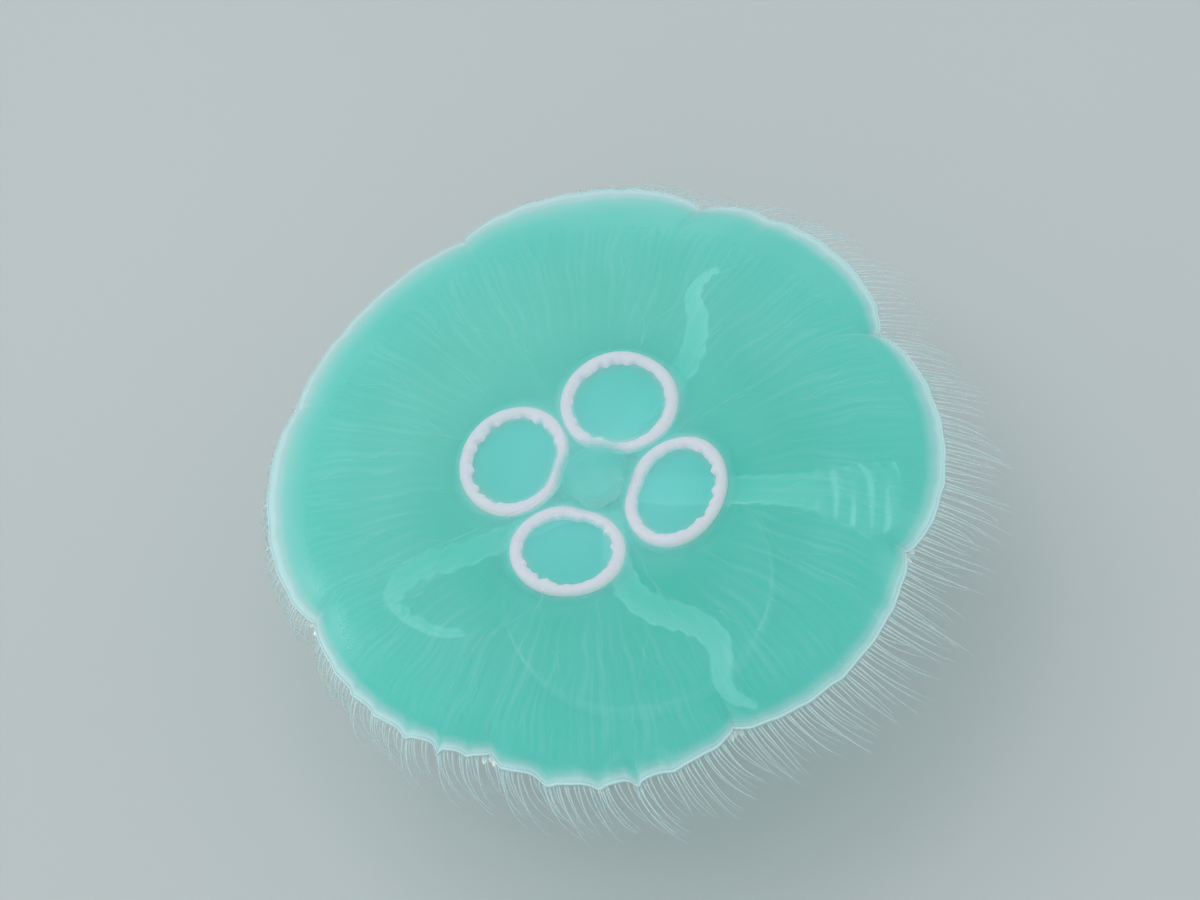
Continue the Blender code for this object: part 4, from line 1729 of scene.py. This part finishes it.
@dataclass(frozen=True)
class Canals:
    """The branching canals that carry food from the stomach to the margin."""

    form: BellForm
    mouth_edge: float = 0.20
    gonad_edge: float = 0.43
    stem_end: float = 0.52
    reaches: tuple[Span, ...] = ((0.46, 0.68), (0.64, 0.85), (0.81, 0.98))
    radii: tuple[float, ...] = (0.40 * MM, 0.34 * MM, 0.28 * MM, 0.22 * MM)
    groups: tuple[float, ...] = (-2.0, 0.0, 2.0)
    fork: float = 0.25
    ending_degrees: float = 5.625
    taper: float = 0.25
    waver: float = 0.5
    straight_radius: float = 0.30 * MM
    straight_taper: float = 0.3
    straight_waver: float = 0.6
    ring_radius: float = 0.35 * MM
    ring_stations: int = 720
    stations: int = 26
    sides: int = 6
    lift: float = 0.75 * MM

    @property
    def ring_share(self) -> float:
        """How far out the ring canal lies, where the last branches end."""
        return self.reaches[-1][1]

    def branches(self, start: float) -> list[tuple[float, float, float, float, float]]:
        """Each branch of one canal.

        A canal sends a branch to either side, and each of these divides in three. At
        the last, every line divides in two. An offset counts endings to either side of
        the canal's own line.

        Args:
            start: how far out the canal starts, from 0 to 1.

        Returns:
            How far out each branch starts and ends, its offsets there, and its radius.
        """
        stem, first, second, third = self.radii
        made = [(start, self.stem_end, 0.0, 0.0, stem)]
        made += [(*self.reaches[0], 0.0, group, first) for group in self.groups]
        for group in self.groups:
            ends = (group - 1, group, group + 1) if group else (group,)
            made += [(*self.reaches[1], group, end, second) for end in ends]
            made += [(*self.reaches[2], end, end + side * self.fork, third)
                     for end in ends for side in (-1, 1)]
        return made

    def lines(self) -> tuple[np.ndarray, np.ndarray]:
        """The paths of every canal, just above the under surface, and their radii.

        A branch's angle eases from its first offset to its last, with a small wave. A
        straight, wavy canal runs half way between two that branch.

        Returns:
            (canals, stations, 3) points and (canals, stations) radii.
        """
        shares, angles, radii = [], [], []
        step = np.linspace(0, 1, self.stations)
        ease = smoothstep(step, 0, 1)
        for canal in range(LOBES):
            first = self.gonad_edge if canal % 2 else self.mouth_edge
            for start, end, before, after, radius in self.branches(first):
                offset = (before + (after - before) * ease) * self.ending_degrees
                wave = np.sin(math.pi * step) * np.sin(7 * step + canal * 2 + after)
                shares.append(start + (end - start) * step)
                angles.append(canal * LOBE_ANGLE + np.radians(offset + self.waver * wave))
                radii.append(radius * (1 - self.taper * step))
            share = self.gonad_edge + (self.ring_share - self.gonad_edge) * step
            wave = self.straight_waver * np.sin(11 * step + canal)
            shares.append(share)
            angles.append((canal + 0.5) * LOBE_ANGLE + np.radians(wave))
            radii.append(self.straight_radius * (1 - self.straight_taper * step))
        share, angle = np.array(shares), np.array(angles)
        radius = share * self.form.outline(angle)
        paths = around(radius, angle, self.form.lower(radius, angle) + self.lift)
        return self.form.ruffled(paths, share, angle), np.array(radii)

    def build(self, tissue: bpy.types.Material) -> bpy.types.Object:
        """Make the canals and the ring canal that joins them, as one mesh of tubes.

        Args:
            tissue: its material.

        Returns:
            The piece.
        """
        paths, radii = self.lines()
        surface = Surface().add_grids(tubes(paths, radii, UP, self.sides), Ends.POLES)
        angle, turn = full_turn(self.ring_stations), full_turn(self.sides)
        radius = self.ring_share * self.form.outline(angle)
        height = self.form.lower(radius, angle) + self.lift
        ring = around(radius[:, None] + self.ring_radius * np.cos(turn), angle[:, None],
                      height[:, None] + self.ring_radius * np.sin(turn))
        ring += self.form.ruffle(angle)[:, None]
        surface.add_grids(ring, Ends.RING)
        return place(surface.build("radial_canals", tissue), Slot.JELLY)


# ---- the animal and its stand ----


@dataclass(frozen=True)
class Jellyfish:
    """The whole animal, built from the inside out.

    A gonad's row gives its degrees round the axis, its two sizes and its fold places. A
    leaf or a fan lists an arm's half widths in millimetres.
    """

    form: BellForm
    gonad_tissue: GonadTissue = GonadTissue()
    # the membrane is milky tissue; its colour whitens by its glow value, a painted glow along
    # each gonad ring
    haze: Tissue = Tissue("gastric_haze", (0.26, 0.96, 0.98), (0.94, 0.88, 0.95),
                          cover=0.50, patches=90.0, carried="haze", blended="glow")
    canal_tissue: Tissue = Tissue("canal_tissue", (0.66, 0.92, 0.88), (0.76, 0.94, 0.92),
                                  cover=0.035, patches=120.0)
    jelly: JellySkin = JellySkin()
    veil: Tissue = Tissue("stomach_veil", (0.22, 0.73, 0.70), (0.28, 0.77, 0.76),
                          cover=0.54, patches=60.0, carried="haze")
    thread: Tissue = Tissue("tentacle_tissue", (0.56, 0.82, 0.80), (0.70, 0.88, 0.88),
                            cover=0.45, patches=220.0, carried="thin")
    feeler: Tissue = Tissue("feeler_tissue", (0.74, 0.90, 0.89), (0.84, 0.94, 0.94),
                            cover=0.8, patches=300.0)
    organ: Tissue = Tissue("sense_tissue", (0.78, 0.84, 0.82), (0.66, 0.46, 0.28),
                           patches=500.0, roughness=0.4, soft=0.2, blended="grain")
    gonads: tuple[tuple[float, float, float, tuple[float, ...]], ...] = (
        (47.7, 1.10, 1.01, (2.9, 0.6)), (137.3, 1.06, 1.03, (-0.5, 0.9, -2.0)),
        (226.3, 0.98, 0.98, (2.4, -0.4)), (317.7, 0.99, 1.03, (-0.3, 0.4)))
    arm_widths: tuple[float, ...] = (1.0, 0.9, 1.0, 1.0)
    leaf: tuple[float, ...] = (3.2, 4.6, 5.0, 4.0, 1.5)
    fan: tuple[float, ...] = (4.0, 5.2, 5.6, 5.8, 6.0, 6.0, 6.6, 8.5, 12.5, 15.5, 12.0)
    fanned_arm: int = 0
    fan_stations: int = 190
    pale_ends: tuple[float, ...] = (0.0, 0.6, 0.0, 0.0)
    arm_routes: tuple[Route, ...] = (
        ((9.6, 0, -8), (22, -8, -11), (42, -18, -13), (62, -28, -15), (80, -37, -18),
         (97, -44, -22)),
        ((0, 9.6, -8), (8, 18, -9), (26, 25, -10), (50, 36, -13), (63, 53, -17),
         (67, 67, -21), (75, 74, -26), (81, 77, -31)),
        ((-9.6, 0, -8), (-30, 3, -9), (-54, 6, -10), (-70, 10, -11), (-81, 10, -15),
         (-86, 10, -24), (-84, 7, -37), (-76, 3, -51), (-67, 3, -61)),
        ((0, -9.6, -8), (-6, -24, -11), (-7, -38, -14), (-2, -48, -16), (7, -57, -18),
         (12, -67, -21), (10, -74, -26), (7, -78, -32), (8, -83, -38), (14, -87, -44)),
    )

    def arm(self, number: int) -> OralArm:
        """One oral arm: a tapering leaf, or the one that spreads into a fan.

        Args:
            number: the arm's number from 0.

        Returns:
            The arm.
        """
        route, width = self.arm_routes[number], self.arm_widths[number]
        if number == self.fanned_arm:
            return OralArm(self.form, number, route, self.fan, width, fan=1.0,
                           stations=self.fan_stations)
        pale_end = self.pale_ends[number]
        return OralArm(self.form, number, route, self.leaf, width, fan=0.0, pale_end=pale_end)

    def build(self) -> None:
        """Make every organ and dress it."""
        rings = tuple(GonadRing(self.form, number, *sizes)
                      for number, sizes in enumerate(self.gonads))
        arms = tuple(self.arm(number) for number in range(len(self.arm_routes)))
        gonad_tissue, haze = self.gonad_tissue.build(), self.haze.build()
        for ring in rings:
            ring.build(gonad_tissue)
            ring.build_membrane(haze)
        Canals(self.form).build(self.canal_tissue.build())
        rod_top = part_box("stand_rod")[1].z
        Skin(self.form, rings, arms, rod_top).build(self.jelly.build())
        StomachRoof(self.form).build(self.veil.build())
        thread = self.thread.build()
        ArmFringe(arms).build(self.feeler.build())
        organ = self.organ.build()
        for lobe in range(LOBES):
            Fringe(self.form, lobe).build(thread)
            SenseOrgan(self.form, lobe).build(organ)


@dataclass(frozen=True)
class Stand:
    """The display stand, whose solids stay and get their finish."""

    def dress(self) -> None:
        """Give the base its lacquer and the rod its brushed steel."""
        for node, finish in (("stand_base", Lacquer()), ("stand_rod", BrushedSteel())):
            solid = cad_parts[node]
            solid.material_slots[0].material = finish.build()
            LOG.info("%s: keeps its solid", node)


# ---- the studio ----


@dataclass(frozen=True)
class Lamp:
    """A square soft light that faces the bell.

    Its azimuth is in degrees anticlockwise from +X, its elevation in degrees above the
    floor, its distance and size in metres and its power in watts. Its light opens over
    its spread, in degrees.
    """

    name: str
    azimuth: float
    power: float
    elevation: float = 9
    distance: float = 1.7
    size: float = 0.6
    spread: float = 30

    def hang(self, height: float) -> None:
        """Put the light in the scene, turned to the axis at the given height.

        Args:
            height: metres above the floor.
        """
        lamp = bpy.data.lights.new(self.name, "AREA")
        lamp.energy = self.power
        lamp.size = self.size
        lamp.spread = math.radians(self.spread)
        light = bpy.data.objects.new(self.name, lamp)
        light.visible_camera = False
        turn, lift = math.radians(self.azimuth), math.radians(self.elevation)
        away = Vector((math.cos(turn) * math.cos(lift), math.sin(turn) * math.cos(lift),
                       math.sin(lift)))
        light.location = Vector((0, 0, height)) + away * self.distance
        light.rotation_euler = away.to_track_quat("Z", "Y").to_euler()
        bpy.context.scene.collection.objects.link(light)


@dataclass(frozen=True)
class Studio:
    """A plain pale floor, soft lights and the camera over the bell."""

    form: BellForm
    floor_size: float = 24.0
    azimuth: float = -7.0
    elevation: float = 59.0
    roll: float = 21.0
    distance: float = 1.25
    focal_mm: float = 105.3
    aim_above_margin: float = 2.4 * MM
    aim_right: float = 1.75 * MM
    aim_up: float = 10.0 * MM
    world_light: float = 0.78
    world_colour: tuple[float, ...] = (0.93, 0.97, 1.0, 1.0)
    clear_layers: int = 32
    lamps: tuple[Lamp, ...] = (
        Lamp("key", 120, 9, elevation=66, distance=1.8, size=1.6, spread=180),
        Lamp("side_1", -25, 0.2), Lamp("side_2", 65, 0.05),
        Lamp("side_3", 155, 0.17), Lamp("side_4", -115, 0.2))

    def axes(self) -> tuple[Vector, Vector, Vector]:
        """The picture's right, its up and the way the camera looks.

        Returns:
            Three unit vectors.
        """
        turn, lift, roll = (math.radians(value) for value in
                            (self.azimuth, self.elevation, self.roll))
        level = Vector((math.cos(turn), math.sin(turn), 0))
        heading = Vector((-math.sin(turn), math.cos(turn), 0))
        climb = Vector((0, 0, 1))
        look = heading * math.cos(lift) - climb * math.sin(lift)
        rise = heading * math.sin(lift) + climb * math.cos(lift)
        right = level * math.cos(roll) - rise * math.sin(roll)
        up = level * math.sin(roll) + rise * math.cos(roll)
        return right, up, look

    def add_camera(self) -> None:
        """Put the camera in place and make it the scene's own."""
        right, up, look = self.axes()
        aim = Vector((0, 0, self.form.margin + self.aim_above_margin))
        aim += right * self.aim_right + up * self.aim_up
        eye = aim - look * self.distance
        lens = bpy.data.cameras.new("camera")
        lens.lens = self.focal_mm
        lens.sensor_width = 36.0
        camera = bpy.data.objects.new("camera", lens)
        turned = Matrix((right, up, -look)).transposed().to_4x4()
        camera.matrix_world = Matrix.Translation(eye) @ turned
        bpy.context.scene.collection.objects.link(camera)
        bpy.context.scene.camera = camera

    def add_floor(self) -> None:
        """Lay a large level sheet of studio paper."""
        mesh = bpy.data.meshes.new("floor")
        half = self.floor_size / 2
        corners = [(-half, -half, 0), (half, -half, 0), (half, half, 0), (-half, half, 0)]
        mesh.from_pydata(corners, [], [(0, 1, 2, 3)])
        mesh.materials.append(StudioPaper().build())
        floor = bpy.data.objects.new("floor", mesh)
        bpy.context.scene.collection.objects.link(floor)

    def build(self) -> None:
        """Set up the floor, the lights, the even sky and the camera."""
        self.add_floor()
        for lamp in self.lamps:
            lamp.hang(self.form.margin)
        sky = bpy.data.worlds.new("sky")
        sky.use_nodes = True
        background = sky.node_tree.nodes["Background"]
        background.inputs["Color"].default_value = self.world_colour
        background.inputs["Strength"].default_value = self.world_light
        scene = bpy.context.scene
        scene.world = sky
        scene.view_settings.view_transform = "Standard"
        scene.cycles.transparent_max_bounces = self.clear_layers
        self.add_camera()


def main() -> None:
    """Build the animal, dress the stand and set up the studio."""
    logging.basicConfig(level=logging.INFO, format="%(name)s %(message)s")
    form = BellForm(top=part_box("bell_crown")[1].z)
    Jellyfish(form).build()
    Stand().dress()
    Studio(form).build()


if __name__ == "__main__":
    main()
